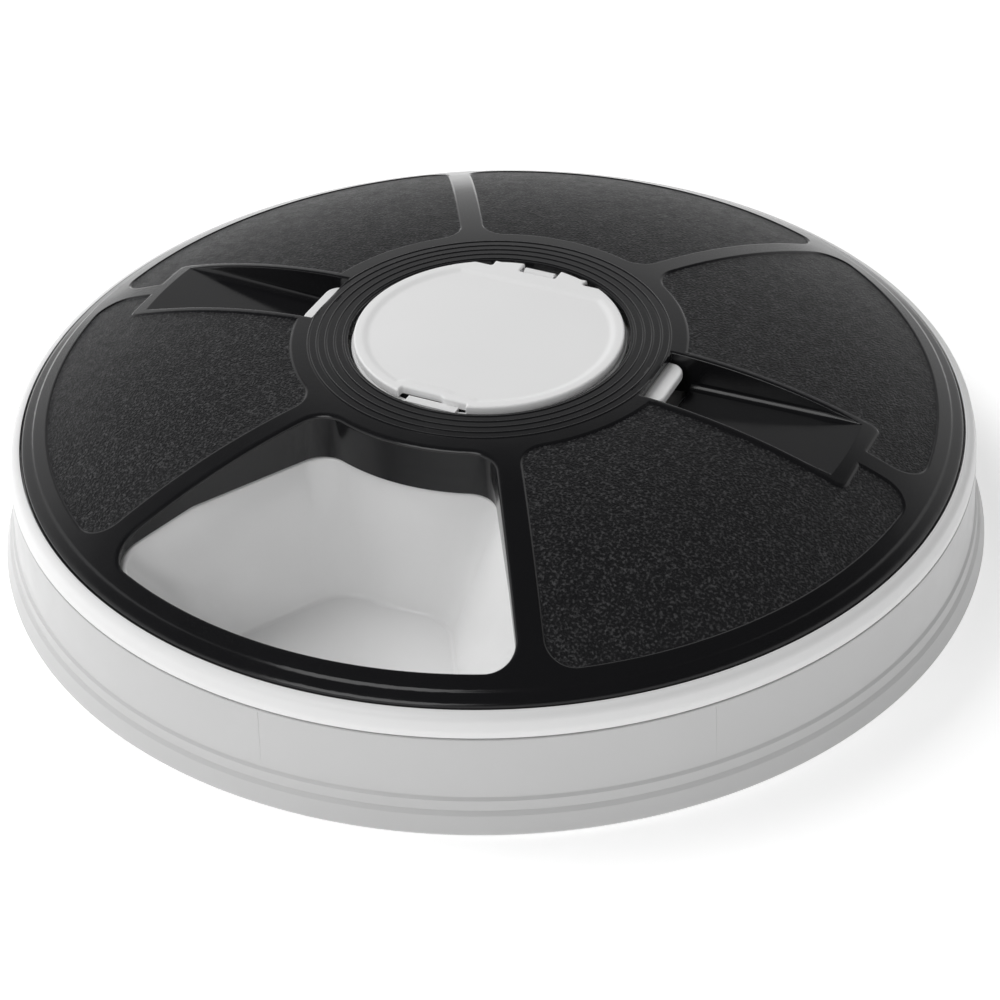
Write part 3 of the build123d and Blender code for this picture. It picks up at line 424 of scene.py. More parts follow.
def tree_of(points):
    tree = KDTree(len(points))
    for i, (x, y) in enumerate(points):
        tree.insert((x, y, 0), i)
    tree.balance()
    return tree


def triangulate(loops, lines, fill, keep, clear=1.2):
    """A triangle mesh of the plane that follows every loop and line, with fill points away from them."""
    points, edges = [], []
    for loop in loops:
        start = len(points)
        points += [tuple(p) for p in loop]
        edges += [(start + i, start + (i + 1) % len(loop)) for i in range(len(loop))]
    for line in lines:
        start = len(points)
        points += [tuple(p) for p in line]
        edges += [(start + i, start + i + 1) for i in range(len(line) - 1)]
    tree = tree_of(points)
    points += [tuple(p) for p in fill if tree.find((p[0], p[1], 0))[2] > clear]
    flat, _, faces, *_ = delaunay_2d_cdt([Vector(p) for p in points], edges, [], 0, 1e-5)
    flat = np.array([tuple(p) for p in flat])
    faces = np.array([tuple(f) for f in faces if len(f) == 3])
    middle = flat[faces].mean(axis=1)
    return flat, faces[keep(middle[:, 0], middle[:, 1])]


def polar_fill(first, last, pitch):
    """Points spread over a ring-shaped area, about pitch apart."""
    rings = []
    for i in range(int((last - first) / pitch)):
        radius = first + pitch * i
        rings.append(turned(circle_points(radius, max(12, int(2 * math.pi * radius / pitch))), 7.3 * i))
    return np.vstack(rings)


class Shell:
    """A piece put together from skins, in millimetres, and welded where they share an edge."""

    def __init__(self):
        self.points = np.zeros((0, 3))
        self.faces = []
        self.slots = []

    def add(self, points, faces, slots=0):
        start = len(self.points)
        self.points = np.vstack((self.points, points))
        self.faces += [tuple(start + i for i in face) for face in faces]
        self.slots += list(slots) if hasattr(slots, "__len__") else [slots] * len(faces)

    def build(self, name, finishes, body, node):
        """Welds the skins into one piece that rides the body and stands in for the CAD node."""
        mesh = bpy.data.meshes.new(name)
        mesh.from_pydata(self.points * MM, [], self.faces)
        for finish in finishes:
            mesh.materials.append(finish)
        mesh.polygons.foreach_set("material_index", self.slots)
        work = bmesh.new()
        work.from_mesh(mesh)
        bmesh.ops.remove_doubles(work, verts=work.verts, dist=WELD_DISTANCE)
        bmesh.ops.dissolve_degenerate(work, edges=work.edges, dist=SLIVER_LENGTH)
        loose = [v for v in work.verts if not v.link_faces]
        bmesh.ops.delete(work, geom=loose, context="VERTS")
        bmesh.ops.recalc_face_normals(work, faces=work.faces)
        for edge in work.edges:
            edge.smooth = len(edge.link_faces) == 2 and edge.calc_face_angle(0) < SHARP_ANGLE
        for face in work.faces:
            face.smooth = True
        work.to_mesh(mesh)
        work.free()
        piece = bpy.data.objects.new(name, mesh)
        bpy.context.collection.objects.link(piece)
        shading = piece.modifiers.new("shading", "WEIGHTED_NORMAL")
        shading.keep_sharp = True
        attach(piece, body)
        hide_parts(node)
        return piece


# ---- turned shapes ------------------------------------------------------------------------------------
def rounded_profile(corners):
    """A profile from (radius, height, rounding) corners, each rounded corner as a short arc of points."""
    points = []
    total = len(corners)
    for i, (r, z, rounding) in enumerate(corners):
        here = np.array((r, z))
        if rounding == 0:
            points.append(here)
            continue
        before = np.array(corners[i - 1][:2]) - here
        after = np.array(corners[(i + 1) % total][:2]) - here
        before /= np.linalg.norm(before)
        after /= np.linalg.norm(after)
        half = math.acos(np.clip(before @ after, -1, 1)) / 2
        reach = rounding / math.tan(half)
        centre = here + (before + after) / np.linalg.norm(before + after) * rounding / math.sin(half)
        first, last = here + before * reach - centre, here + after * reach - centre
        sweep = math.pi - 2 * half
        for share in np.linspace(0, 1, ARC_POINTS):
            blend = math.sin((1 - share) * sweep) * first + math.sin(share * sweep) * last
            points.append(centre + blend / math.sin(sweep))
    return points


def turn_profile(shell, profile, count, first=0.0, last=360.0):
    """A closed profile of (radius, height) points turned about Z, all round or between two angles."""
    whole = last - first >= 360
    angles = np.radians(np.linspace(first, last, count, endpoint=not whole))
    size = len(profile)
    points = [(r * math.cos(a), r * math.sin(a), z) for a in angles for r, z in profile]
    faces = []
    for i in range(count if whole else count - 1):
        after = (i + 1) % count
        faces += [
            (i * size + j, after * size + j, after * size + (j + 1) % size, i * size + (j + 1) % size)
            for j in range(size)
        ]
    if not whole:
        faces += [tuple(range(size)), tuple(range((count - 1) * size, count * size))]
    shell.add(np.array(points), faces)


def bridge(shell, loops, closed=False):
    """Quads between each loop of points and the next, and from the last back to the first if closed."""
    size, total = len(loops[0]), len(loops)
    faces = []
    for level in range(total if closed else total - 1):
        here, below = level * size, (level + 1) % total * size
        faces += [(here + j, here + (j + 1) % size, below + (j + 1) % size, below + j) for j in range(size)]
    shell.add(np.vstack(loops), faces)


def at_height(points, z):
    """Flat points lifted to one height, or to a height each."""
    return np.column_stack((points, np.broadcast_to(z, len(points))))


# ---- lid ----------------------------------------------------------------------------------------------
# The same driving sizes as the CAD lid, in millimetres, with the rounded edges that the CAD leaves out.
LID_RADIUS = 150.6
LID_EDGE_Z = 41.3
LID_BOTTOM_Z = 38.7
RIM_INNER = 145.6
CROWN_RADIUS = 50.0
CROWN_Z = 66.2
LID_WALL = 2.2
HUB_HOLE = 44.8
DOME_RADIUS = ((LID_RADIUS - CROWN_RADIUS) ** 2 + (CROWN_Z - LID_EDGE_Z) ** 2) / (2 * (CROWN_Z - LID_EDGE_Z))
OPENING = (64.2, 141.4, 4.2, 9.0)        # wedges, as wedge_loop takes them
PANEL = (62.6, 142.4, 3.2, 9.0)
PANEL_DEPTH = 0.5
PANEL_BANK = 0.9                         # width of the slope down into a panel
OPENING_TURN = -90
COMPARTMENT_TURNS = [OPENING_TURN + 60 * i for i in range(6)]
SKIRT_WALL = 2.0
SKIRT_RADII = (112, 143.4)               # where the skirt's lower edge has the heights below
SKIRT_HEIGHTS = (50.4, 43.0)
DRAFT = 0.06                             # upright walls lean by this much over their height
RIDGES = [46.2 + 2.8 * i for i in range(5)]
RIDGE_HALF = 0.5
RIDGE_HEIGHT = 0.26
RIM_STEP = 146.3                         # a fine step runs round just inside the lid's edge
RIM_STEP_DROP = 0.3
RIM_STEP_WIDTH = 0.6
EDGE_ROLL = 1.0                          # the rounded edges' radii
HUB_ROLL = 0.4
OPENING_ROLL = 1.3
RECESS_ROLL = 0.8
RECESS = ((57.2, -12.6), (122.0, -14.4), (122.0, 14.4), (57.2, 12.6))
RECESS_FLOOR = 54.4
RECESS_CREASE = 2.6
RECESS_BORDER = 2.2
SLOT_REACH = 63.8
PAN_BOTTOM = RECESS_FLOOR - LID_WALL
LATCH_WAY_HALF = 12.5                    # half width of the way through the hub for a latch
NUDGE = 0.01                             # keeps points on an edge on one side of a test


def dome(radius, depth=0.0):
    """Height of the lid's dome, flat inside the crown, or of the surface that lies depth under it."""
    run = np.maximum(radius - CROWN_RADIUS, 0)
    return CROWN_Z - DOME_RADIUS + np.sqrt((DOME_RADIUS - depth) ** 2 - run**2)


def skirt_low(radius):
    """Lower edge of the opening's skirt: just above the tray, and lower outside, as the tray is."""
    return np.interp(radius, SKIRT_RADII, SKIRT_HEIGHTS)


def panel_distance(x, y):
    return np.min([wedge_distance(x, y, PANEL, turn) for turn in COMPARTMENT_TURNS[1:]], axis=0)


def recess_distance(x, y):
    return quad_distance(np.abs(x), y, RECESS)


def panel_depth_inside(x, y):
    """How far a point is inside a grained panel, clear of the smooth border round a recess."""
    return np.minimum(-panel_distance(x, y), recess_distance(x, y) - RECESS_BORDER)


def lid_top(x, y):
    radius = np.hypot(x, y)
    z = dome(radius)
    for ridge in RIDGES:
        z = z + RIDGE_HEIGHT * np.maximum(0, 1 - ((radius - ridge) / RIDGE_HALF) ** 2)
    z = z - RIM_STEP_DROP * smooth((radius - RIM_STEP) / RIM_STEP_WIDTH)
    z = z - roll(LID_RADIUS - radius, EDGE_ROLL) - roll(radius - HUB_HOLE, HUB_ROLL)
    z = z - PANEL_DEPTH * smooth(panel_depth_inside(x, y) / PANEL_BANK)
    opening = wedge_distance(x, y, OPENING, OPENING_TURN)
    z = np.where(opening > -DRAFT / 2, z - roll(opening, OPENING_ROLL), skirt_low(radius))
    inside = -recess_distance(x, y)
    wall = np.maximum(z - RECESS_FLOOR, 0)
    banked = z - roll(-inside, np.clip(0.3 * wall, 1e-6, RECESS_ROLL))
    crease = RECESS_FLOOR + roll(inside, np.clip(0.7 * wall, 1e-6, RECESS_CREASE))
    z = np.where(inside > -DRAFT / 2, np.minimum(z, crease), banked)
    in_slot = (inside > -DRAFT / 2) & (np.abs(x) < SLOT_REACH + NUDGE)
    in_way = (np.abs(x) < RECESS[0][0] + NUDGE) & (np.abs(y) < LATCH_WAY_HALF)
    z = np.where(in_slot, np.where(in_way, CROWN_Z - LID_WALL, PAN_BOTTOM), z)
    z = np.where(radius > LID_RADIUS - DRAFT / 2, LID_BOTTOM_Z, z)
    return np.where(radius < HUB_HOLE + DRAFT / 2, CROWN_Z - LID_WALL, z)


def lid_under(x, y):
    radius = np.hypot(x, y)
    z = dome(radius, LID_WALL)
    z = np.where(wedge_distance(x, y, OPENING, OPENING_TURN) < SKIRT_WALL + DRAFT / 2, skirt_low(radius), z)
    inside = -recess_distance(x, y)
    near_pan = inside > -LID_WALL - DRAFT / 2
    past_ring = np.abs(x) > RECESS[0][0] + NUDGE
    z = np.where(near_pan & past_ring, np.minimum(z, PAN_BOTTOM), z)
    z = np.where(near_pan & ~past_ring & (np.abs(y) > LATCH_WAY_HALF), PAN_BOTTOM, z)
    return np.where(radius > RIM_INNER - DRAFT / 2, LID_BOTTOM_Z, z)


def lid_material_area(x, y):
    """True where the lid is, seen from above."""
    radius = np.hypot(x, y)
    inside_opening = wedge_distance(x, y, OPENING, OPENING_TURN) < -DRAFT
    inside_slot = (recess_distance(x, y) < 0) & (np.abs(x) < SLOT_REACH)
    return ~inside_opening & ~inside_slot & (radius > HUB_HOLE) & (radius < LID_RADIUS)


def both_sides(loop):
    """The loop and its mirror image, for what the right and left of the lid share."""
    return [loop, loop * (-1, 1)]


def slot_lines(places):
    """Lines across both recesses at the given distances from the middle."""
    lines = []
    for x in places:
        half = np.interp(x, (RECESS[0][0], RECESS[1][0]), (RECESS[3][1], RECESS[2][1]))
        lines += both_sides(np.column_stack((np.full(25, x), np.linspace(-half, half, 25))))
    return lines


def lid_loops_shared():
    """Edges that the lid's upper and under sides have in common."""
    loops = [circle_points(HUB_HOLE, HUB_COUNT), circle_points(LID_RADIUS, RIM_COUNT)]
    loops.append(wedge_loop(OPENING, DRAFT, OPENING_TURN))
    return loops + both_sides(quad_loop(RECESS, 0, SIDE_COUNT))


def add_lid(materials):
    upper = lid_loops_shared()
    upper += [circle_points(HUB_HOLE + r, HUB_COUNT) for r in (DRAFT, 0.2, 0.42)]
    for ridge in RIDGES:
        upper += [circle_points(ridge + RIDGE_HALF * r, 300) for r in (-1, -0.6, 0, 0.6, 1)]
    upper += [circle_points(LID_RADIUS - r, RIM_COUNT) for r in (DRAFT, 0.25, 0.55, 1.0, 1.6)]
    upper += [circle_points(RIM_STEP + r, RIM_COUNT) for r in (-0.3, 0, 0.3, 0.6, 1.0)]
    upper += [wedge_loop(OPENING, -r, OPENING_TURN) for r in (0, 0.08, 0.25, 0.5, 0.85, 1.3, 1.9)]
    for turn in COMPARTMENT_TURNS[1:]:
        upper += [wedge_loop(PANEL, r, turn) for r in (-0.3, 0, 0.3, 0.6, 0.9, 1.4)]
    for grow in (0.06, 0.2, 0.45, 0.8, 1.2):
        upper += both_sides(quad_loop(RECESS, grow, SIDE_COUNT))
    (near_x, near_y), (far_x, far_y) = RECESS[:2]
    end_x = far_x - 0.3
    for inset in (0.15, 0.5, 1.1, 1.8, 2.6, 3.4):
        corners = ((near_x + inset, near_y + inset), (end_x, far_y + inset),
                   (end_x, -far_y - inset), (near_x + inset, -near_y - inset))
        upper += both_sides(quad_loop(corners, 0, SIDE_COUNT))
    # the recess's floor runs out into the dome along this circle
    run_out = CROWN_RADIUS + math.sqrt(DOME_RADIUS**2 - (RECESS_FLOOR - CROWN_Z + DOME_RADIUS) ** 2)
    ends = [turned(circle_points(run_out + r, 720)[:55], -13.5) for r in (-0.5, -0.15, 0, 0.15, 0.5)]
    end_lines = [line for end in ends for line in both_sides(end)]
    for grow in (0, 0.3, 0.6, 0.9, 1.4):
        upper += both_sides(quad_loop(RECESS, RECESS_BORDER + grow, SIDE_COUNT))
    upper_lines = slot_lines((SLOT_REACH, SLOT_REACH + DRAFT)) + end_lines
    points, faces = triangulate(upper, upper_lines, polar_fill(60, 149, 2.4), lid_material_area)
    shell = Shell()
    middle = points[faces].mean(axis=1)
    grained = panel_depth_inside(middle[:, 0], middle[:, 1]) > PANEL_BANK * 0.8
    shell.add(at_height(points, lid_top(*points.T)), faces, grained.astype(int))

    lower = lid_loops_shared()
    lower += [circle_points(r, RIM_COUNT) for r in (RIM_INNER - DRAFT, RIM_INNER, RIM_INNER - 3)]
    lower += [wedge_loop(OPENING, -SKIRT_WALL - r, OPENING_TURN) for r in (0, DRAFT, 2)]
    for grow in (LID_WALL, LID_WALL + DRAFT, LID_WALL + 2):
        lower += both_sides(quad_loop(RECESS, grow, SIDE_COUNT))
    lower_lines = slot_lines((RECESS[0][0] + 0.02, SLOT_REACH))
    points, faces = triangulate(lower, lower_lines, polar_fill(48, 149, 3.6), lid_material_area)
    shell.add(at_height(points, lid_under(*points.T)), faces)
    finishes = [materials["lid_black"], materials["lid_grain"]]
    shell.build("lid_shell", finishes, "lid", "lid")


# ---- food tray ----------------------------------------------------------------------------------------
TRAY_RADIUS = 142.5
TRAY_HUB = 58.0
CUP_TOP = (62.8, 140.4, 3.6, 12.5)
CUP_FLOOR = (72.0, 128.0, 19.0, 14.0)
CUP_FLOOR_Z = 8.4
CUP_LIP = 1.5
CUP_CREASE = 1.6
CUP_WALL = 1.4
TRAY_EDGE = TRAY_RADIUS - 0.5            # where the tray's rolled rim starts
TRAY_COLLAR_LOW_Z = 37.0
TRAY_COLLAR_WALL = 2.0
TRAY_TOP_RADII = (112, 116, 140, TRAY_RADIUS)
TRAY_TOP_HEIGHTS = (49.4, 48.7, 42.8, 42.2)


def tray_top(radius):
    """Height of the tray's ribs: level near the hub, and falling outwards under the lid."""
    return np.interp(radius, TRAY_TOP_RADII, TRAY_TOP_HEIGHTS)


def cup_loops(turn, grow):
    """Loops down one compartment, from its rolled lip to its floor; grow moves them outwards."""
    loops = []
    for back in (CUP_LIP, 1.0, 0.6, 0.3, 0.1):
        ring = wedge_loop(CUP_TOP, -back - grow, turn)
        loops.append(at_height(ring, tray_top(np.hypot(*ring.T)) - roll(back, CUP_LIP) - grow))
    lip = wedge_loop(CUP_TOP, -grow, turn)
    low = wedge_loop(CUP_FLOOR, -grow, turn)
    lip_z = tray_top(np.hypot(*lip.T)) - CUP_LIP - grow
    low_z = CUP_FLOOR_Z + CUP_CREASE - grow
    for share in np.linspace(0, 1, 14):
        loops.append(at_height(lip * (1 - share) + low * share, lip_z * (1 - share) + low_z * share))
    for inset in (0.1, 0.4, 0.8, 1.4, CUP_CREASE):
        ring = wedge_loop(CUP_FLOOR, inset - grow, turn)
        loops.append(at_height(ring, CUP_FLOOR_Z - grow + roll(inset, CUP_CREASE)))
    return loops


def add_tray_side(shell, grow):
    """The tray's upper side, or its under side one wall thickness further out."""
    rims, floors = [], []
    for turn in COMPARTMENT_TURNS:
        loops = cup_loops(turn, grow)
        bridge(shell, loops)
        rims.append(loops[0][:, :2])
        floors.append(loops[-1])
    lip = tuple(np.add(CUP_TOP, (-CUP_LIP - grow, CUP_LIP + grow, -CUP_LIP - grow, CUP_LIP + grow)))

    def on_ribs(x, y):
        radius = np.hypot(x, y)
        nearest = np.min([wedge_distance(x, y, lip, turn) for turn in COMPARTMENT_TURNS], axis=0)
        outside = nearest > -0.001
        return outside & (radius > TRAY_HUB) & (radius < TRAY_EDGE)

    circles = [circle_points(TRAY_HUB, HUB_COUNT), circle_points(TRAY_EDGE, RIM_COUNT)]
    fill = polar_fill(TRAY_HUB + 1, TRAY_EDGE - 1, 2.0)
    points, faces = triangulate(rims + circles, [], fill, on_ribs, 0.8)
    shell.add(at_height(points, tray_top(np.hypot(*points.T)) - grow), faces)
    for floor in floors:
        outline = floor[:, :2]
        centre, z = outline.mean(axis=0), floor[0, 2]
        rings = [at_height(centre + (outline - centre) * share, z) for share in (1, 0.7, 0.35, 0.02)]
        bridge(shell, rings)
        shell.add(rings[-1], [tuple(range(len(outline)))])


def add_tray(materials):
    shell = Shell()
    add_tray_side(shell, 0.0)
    add_tray_side(shell, CUP_WALL)
    edge = []
    for radius, drop in ((TRAY_EDGE, 0), (TRAY_RADIUS - 0.15, 0.15), (TRAY_RADIUS, 0.5),
                         (TRAY_RADIUS, 1.2), (TRAY_EDGE, CUP_WALL)):
        edge.append(at_height(circle_points(radius, RIM_COUNT), tray_top(TRAY_EDGE) - drop))
    bridge(shell, edge)
    hub_top = float(tray_top(TRAY_HUB))
    collar_top, collar_outer = hub_top - CUP_WALL / 2, TRAY_HUB + TRAY_COLLAR_WALL
    turn_profile(shell, rounded_profile((
        (TRAY_HUB, TRAY_COLLAR_LOW_Z, 0.4), (collar_outer, TRAY_COLLAR_LOW_Z, 0.4),
        (collar_outer, collar_top, 0), (TRAY_HUB, collar_top, 0),
    )), HUB_COUNT)
    bridge(shell, [at_height(circle_points(TRAY_HUB, HUB_COUNT), z) for z in (hub_top, hub_top - CUP_WALL)])
    shell.build("tray_moulding", [materials["tray_white"]], "tray", "food_tray")


# ---- base shells --------------------------------------------------------------------------------------
SEAM_Z = 33.0
SEAM_GAP = 0.25
PLATE_LOW_Z = 1.0
PLATE_TOP_Z = 3.0
PLATE_RADIUS = 155.2
FOOT_RADIUS = 160.0
WALL_COUNT = 512
SCREW_CIRCLE = 150.0
SCREW_HOLE = 2.65
BAY = ((-44.4, -29.4), (44.4, -29.4), (44.4, 41.4), (-44.4, 41.4))
WINDOW_ANGLE = 111.0                     # where the idler gear reaches through the column
WINDOW_HALF_ANGLE = 15.1
WITNESS_ANGLES = (-90.0, -41.0, 90.0, 139.0)
WITNESS_ENDS = ((155.92, 13.4), (155.12, SEAM_Z - 0.8))
WITNESS_HALF = 0.16
WITNESS_HEIGHT = 0.07
WITNESS_DEPTH = 0.4
COLUMN_RADIUS = 50.0
COLUMN_BORE = 47.8
COLUMN_TOP_Z = 54.0
COLUMN_MOUTH = 40.6                      # radius of the opening in the column's top
COLUMN_CEILING_Z = 52.0
BASIN_RADIUS = 144.5
BASIN_FLOOR_Z = 5.0
BASIN_UNDER_Z = 3.3
BASIN_OUTSIDE = 146.7
RING_INNER, RING_OUTER, RING_TOP_Z = 99.0, 102.0, 6.1  # a low ring on the basin's floor
LEDGE_Z = 38.4                           # the lid's rim rests just above this ledge
RIM_TOP_Z = 40.4
RIM_INSIDE = 151.1
SHOULDER_INSIDE = 150.4
TONGUE_LOW_Z = 29.5                      # the deck's tongue reaches down inside the lower shell
WINDOW_LOW_Z = 37.8
WINDOW_HIGH_Z = 47.4


def screw_holes():
    """The six screw holes' outlines, halfway between the feet."""
    holes = []
    for i in range(6):
        angle = math.radians(30 + 60 * i)
        centre = SCREW_CIRCLE * np.array((math.cos(angle), math.sin(angle)))
        holes.append(circle_points(SCREW_HOLE, 32) + centre)
    return holes


def add_lower_shell(materials):
    """The base's outer wall, with its ledge and flared foot, and the plate with the battery bay."""
    shell = Shell()
    wall = rounded_profile((
        (PLATE_RADIUS, PLATE_LOW_Z, 0), (159.3, PLATE_LOW_Z, 0.3), (FOOT_RADIUS, 2.0, 0.5),
        (158.3, 7.3, 0.5), (157.3, 8.6, 0.25), (156.8, 11.6, 0.25), (156.0, 12.5, 0.6),
        (155.05, SEAM_Z - SEAM_GAP, 0.4), (152.8, SEAM_Z - SEAM_GAP, 0), (153.9, 12.0, 0),
        (154.9, 6.0, 0), (PLATE_RADIUS, PLATE_TOP_Z, 0),
    ))
    bridge(shell, [at_height(circle_points(r, WALL_COUNT), z) for r, z in wall])
    bay = quad_loop(BAY, 0, 40)
    holes = screw_holes()

    def on_plate(x, y):
        clear = (quad_distance(x, y, BAY) > 0) & (np.hypot(x, y) < PLATE_RADIUS)
        for hole in holes:
            middle = hole.mean(axis=0)
            clear &= np.hypot(x - middle[0], y - middle[1]) > SCREW_HOLE * 0.999
        return clear

    outlines = [circle_points(PLATE_RADIUS, WALL_COUNT), bay] + holes
    points, faces = triangulate(outlines, [], polar_fill(6, 150, 7), on_plate, 2)
    for z in (PLATE_LOW_Z, PLATE_TOP_Z):
        shell.add(at_height(points, z), faces)
    for outline in [bay] + holes:
        bridge(shell, [at_height(outline, z) for z in (PLATE_LOW_Z, PLATE_TOP_Z)])
    # fine upright witness lines left by the mould's halves
    for angle in WITNESS_ANGLES:
        along = np.array((math.cos(math.radians(angle)), math.sin(math.radians(angle)), 0))
        across = np.array((-along[1], along[0], 0))
        rows = []
        for radius, z in WITNESS_ENDS:
            up = np.array((0, 0, z))
            sunk = along * (radius - WITNESS_DEPTH) + up
            proud = along * (radius + WITNESS_HEIGHT) + up
            rows += [sunk - across * WITNESS_HALF, proud, sunk + across * WITNESS_HALF]
        shell.add(np.array(rows), [(0, 1, 4, 3), (1, 2, 5, 4), (2, 0, 3, 5), (0, 2, 1), (3, 4, 5)])
    shell.build("lower_casing", [materials["white_shell"]], "base", "lower_shell")


def add_upper_deck(materials):
    """The rounded shoulder, the basin that the tray turns in, and the column with the idler's window."""
    shell = Shell()
    deck = rounded_profile((
        (155.0, SEAM_Z + SEAM_GAP, 0.3), (154.95, 35.4, 6), (153.6, RIM_TOP_Z, 3.2),
        (RIM_INSIDE, RIM_TOP_Z, 0.5), (RIM_INSIDE, LEDGE_Z, 0.3), (BASIN_RADIUS, LEDGE_Z, 0.8),
        (BASIN_RADIUS, BASIN_FLOOR_Z, 2.0), (RING_OUTER, BASIN_FLOOR_Z, 0), (RING_OUTER, RING_TOP_Z, 0.4),
        (RING_INNER, RING_TOP_Z, 0.4), (RING_INNER, BASIN_FLOOR_Z, 0), (COLUMN_RADIUS, BASIN_FLOOR_Z, 2.0),
        (COLUMN_RADIUS, WINDOW_LOW_Z, 0), (COLUMN_BORE, WINDOW_LOW_Z, 0), (COLUMN_BORE, BASIN_UNDER_Z, 0),
        (BASIN_OUTSIDE, BASIN_UNDER_Z, 0), (BASIN_OUTSIDE, 36.2, 0), (SHOULDER_INSIDE, 36.2, 0),
        (SHOULDER_INSIDE, TONGUE_LOW_Z, 0), (152.2, TONGUE_LOW_Z, 0), (152.4, SEAM_Z + SEAM_GAP, 0),
    ))
    turn_profile(shell, deck, WALL_COUNT)
    window_band = [(COLUMN_RADIUS, WINDOW_LOW_Z), (COLUMN_RADIUS, WINDOW_HIGH_Z),
                   (COLUMN_BORE, WINDOW_HIGH_Z), (COLUMN_BORE, WINDOW_LOW_Z)]
    band_start, band_end = WINDOW_ANGLE + WINDOW_HALF_ANGLE, WINDOW_ANGLE + 360 - WINDOW_HALF_ANGLE
    turn_profile(shell, window_band, 220, band_start, band_end)
    column_top = rounded_profile((
        (COLUMN_RADIUS, WINDOW_HIGH_Z, 0), (COLUMN_RADIUS, COLUMN_TOP_Z, 0.8),
        (COLUMN_MOUTH, COLUMN_TOP_Z, 0.3), (COLUMN_MOUTH, COLUMN_CEILING_Z, 0),
        (COLUMN_BORE, COLUMN_CEILING_Z, 0), (COLUMN_BORE, WINDOW_HIGH_Z, 0),
    ))
    turn_profile(shell, column_top, HUB_COUNT)
    shell.build("deck_moulding", [materials["white_deck"]], "base", "upper_deck")


# ---- cover over the controls --------------------------------------------------------------------------
COVER_RADIUS = 43.0
COVER_TOP_Z = 67.4
COVER_LOW_Z = 64.8
COVER_CHORD = 36.9                       # the straight side, beside the hinge
COVER_DISH = 0.7                         # how far the middle lies below the rim
COVER_BAND = 2.6                         # flat width of the rim
COVER_BANK = 2.4                         # width of the slope down into the dish
COVER_ROLL = 0.7
COVER_HINGE_BAND = 5.2                   # the dished middle stops this far short of the straight side
PIN_HOLE_RADIUS = 0.85
HINGE_Y = 39.2
HINGE_Z = 65.3
BARREL_RADIUS = 1.9
TAB_SPANS = ((6.4, 16.2), (-16.2, -6.4))
TAB_REACH = 42.4                         # the tabs' ends follow this radius
NOTCH_LEFT, NOTCH_STEP, NOTCH_RIGHT = -11.4, 2.0, 11.4
NOTCH_DEEP, NOTCH_SHALLOW = -38.8, -39.9  # a thumb notch in two shallow steps
NOTCH_SLOPE = 1.5
CORNER_CUT = 0.9
OUTLINE_PITCH = 0.6
ARC_STEP = 1.5                           # corners between shorter sides than this belong to an arc


def arc_between(radius, first, last, count):
    angle = np.radians(np.linspace(first, last, count))
    return list(zip(radius * np.cos(angle), radius * np.sin(angle)))


def softened(corners, reach):
    """An outline whose corners are cut back by reach and joined by small curves."""
    points = []
    total = len(corners)
    for i, corner in enumerate(np.array(corners)):
        before, after = corners[i - 1] - corner, corners[(i + 1) % total] - corner
        back = min(reach, 0.45 * np.linalg.norm(before), 0.45 * np.linalg.norm(after))
        if np.linalg.norm(before) < ARC_STEP and np.linalg.norm(after) < ARC_STEP:
            points.append(corner)
            continue
        start = corner + before / np.linalg.norm(before) * back
        end = corner + after / np.linalg.norm(after) * back
        for t in np.linspace(0, 1, ARC_POINTS):
            points.append(start * (1 - t) ** 2 + 2 * corner * t * (1 - t) + end * t**2)
    return np.array(points)


def resampled(outline, pitch):
    """The same closed outline with points no further apart than pitch."""
    points = []
    for i, here in enumerate(outline):
        ahead = outline[(i + 1) % len(outline)]
        steps = max(1, int(np.linalg.norm(ahead - here) / pitch))
        points += [here + (ahead - here) * k / steps for k in range(steps)]
    return np.array(points)


def moved_in(outline, distance):
    """The outline moved inwards by a small distance along its own normals (anticlockwise outline)."""
    along = np.roll(outline, -1, axis=0) - np.roll(outline, 1, axis=0)
    along /= np.linalg.norm(along, axis=1)[:, None]
    return outline + np.column_stack((-along[:, 1], along[:, 0])) * distance


def cover_outline():
    chord_angle = math.degrees(math.asin(COVER_CHORD / COVER_RADIUS))
    left = -90 - math.degrees(math.asin(-NOTCH_LEFT / COVER_RADIUS))
    right = -90 + math.degrees(math.asin(NOTCH_RIGHT / COVER_RADIUS))
    points = arc_between(COVER_RADIUS, right, chord_angle, 90)
    for far, near in TAB_SPANS:
        ends = [(x, math.sqrt(TAB_REACH**2 - x**2)) for x in np.linspace(near, far, 7)]
        points += [(near, COVER_CHORD)] + ends + [(far, COVER_CHORD)]
    points += arc_between(COVER_RADIUS, 180 - chord_angle, 360 + left, 90)
    points += [(NOTCH_LEFT, NOTCH_DEEP), (NOTCH_STEP, NOTCH_DEEP)]
    points += [(NOTCH_STEP + NOTCH_SLOPE, NOTCH_SHALLOW), (NOTCH_RIGHT, NOTCH_SHALLOW)]
    return resampled(softened(np.array(points), CORNER_CUT), OUTLINE_PITCH)


def outline_distance(x, y, outline):
    """Distance to a closed outline of close points."""
    tree = tree_of(outline)
    return np.array([tree.find((px, py, 0))[2] for px, py in zip(x, y)])


def inside_outline(x, y, outline):
    """True for points inside a closed outline, from the number of sides that a ray crosses."""
    inside = np.zeros(x.shape, bool)
    for (ax, ay), (bx, by) in zip(outline, np.roll(outline, -1, axis=0)):
        if ay != by:
            inside ^= ((ay > y) != (by > y)) & (x < ax + (y - ay) / (by - ay) * (bx - ax))
    return inside


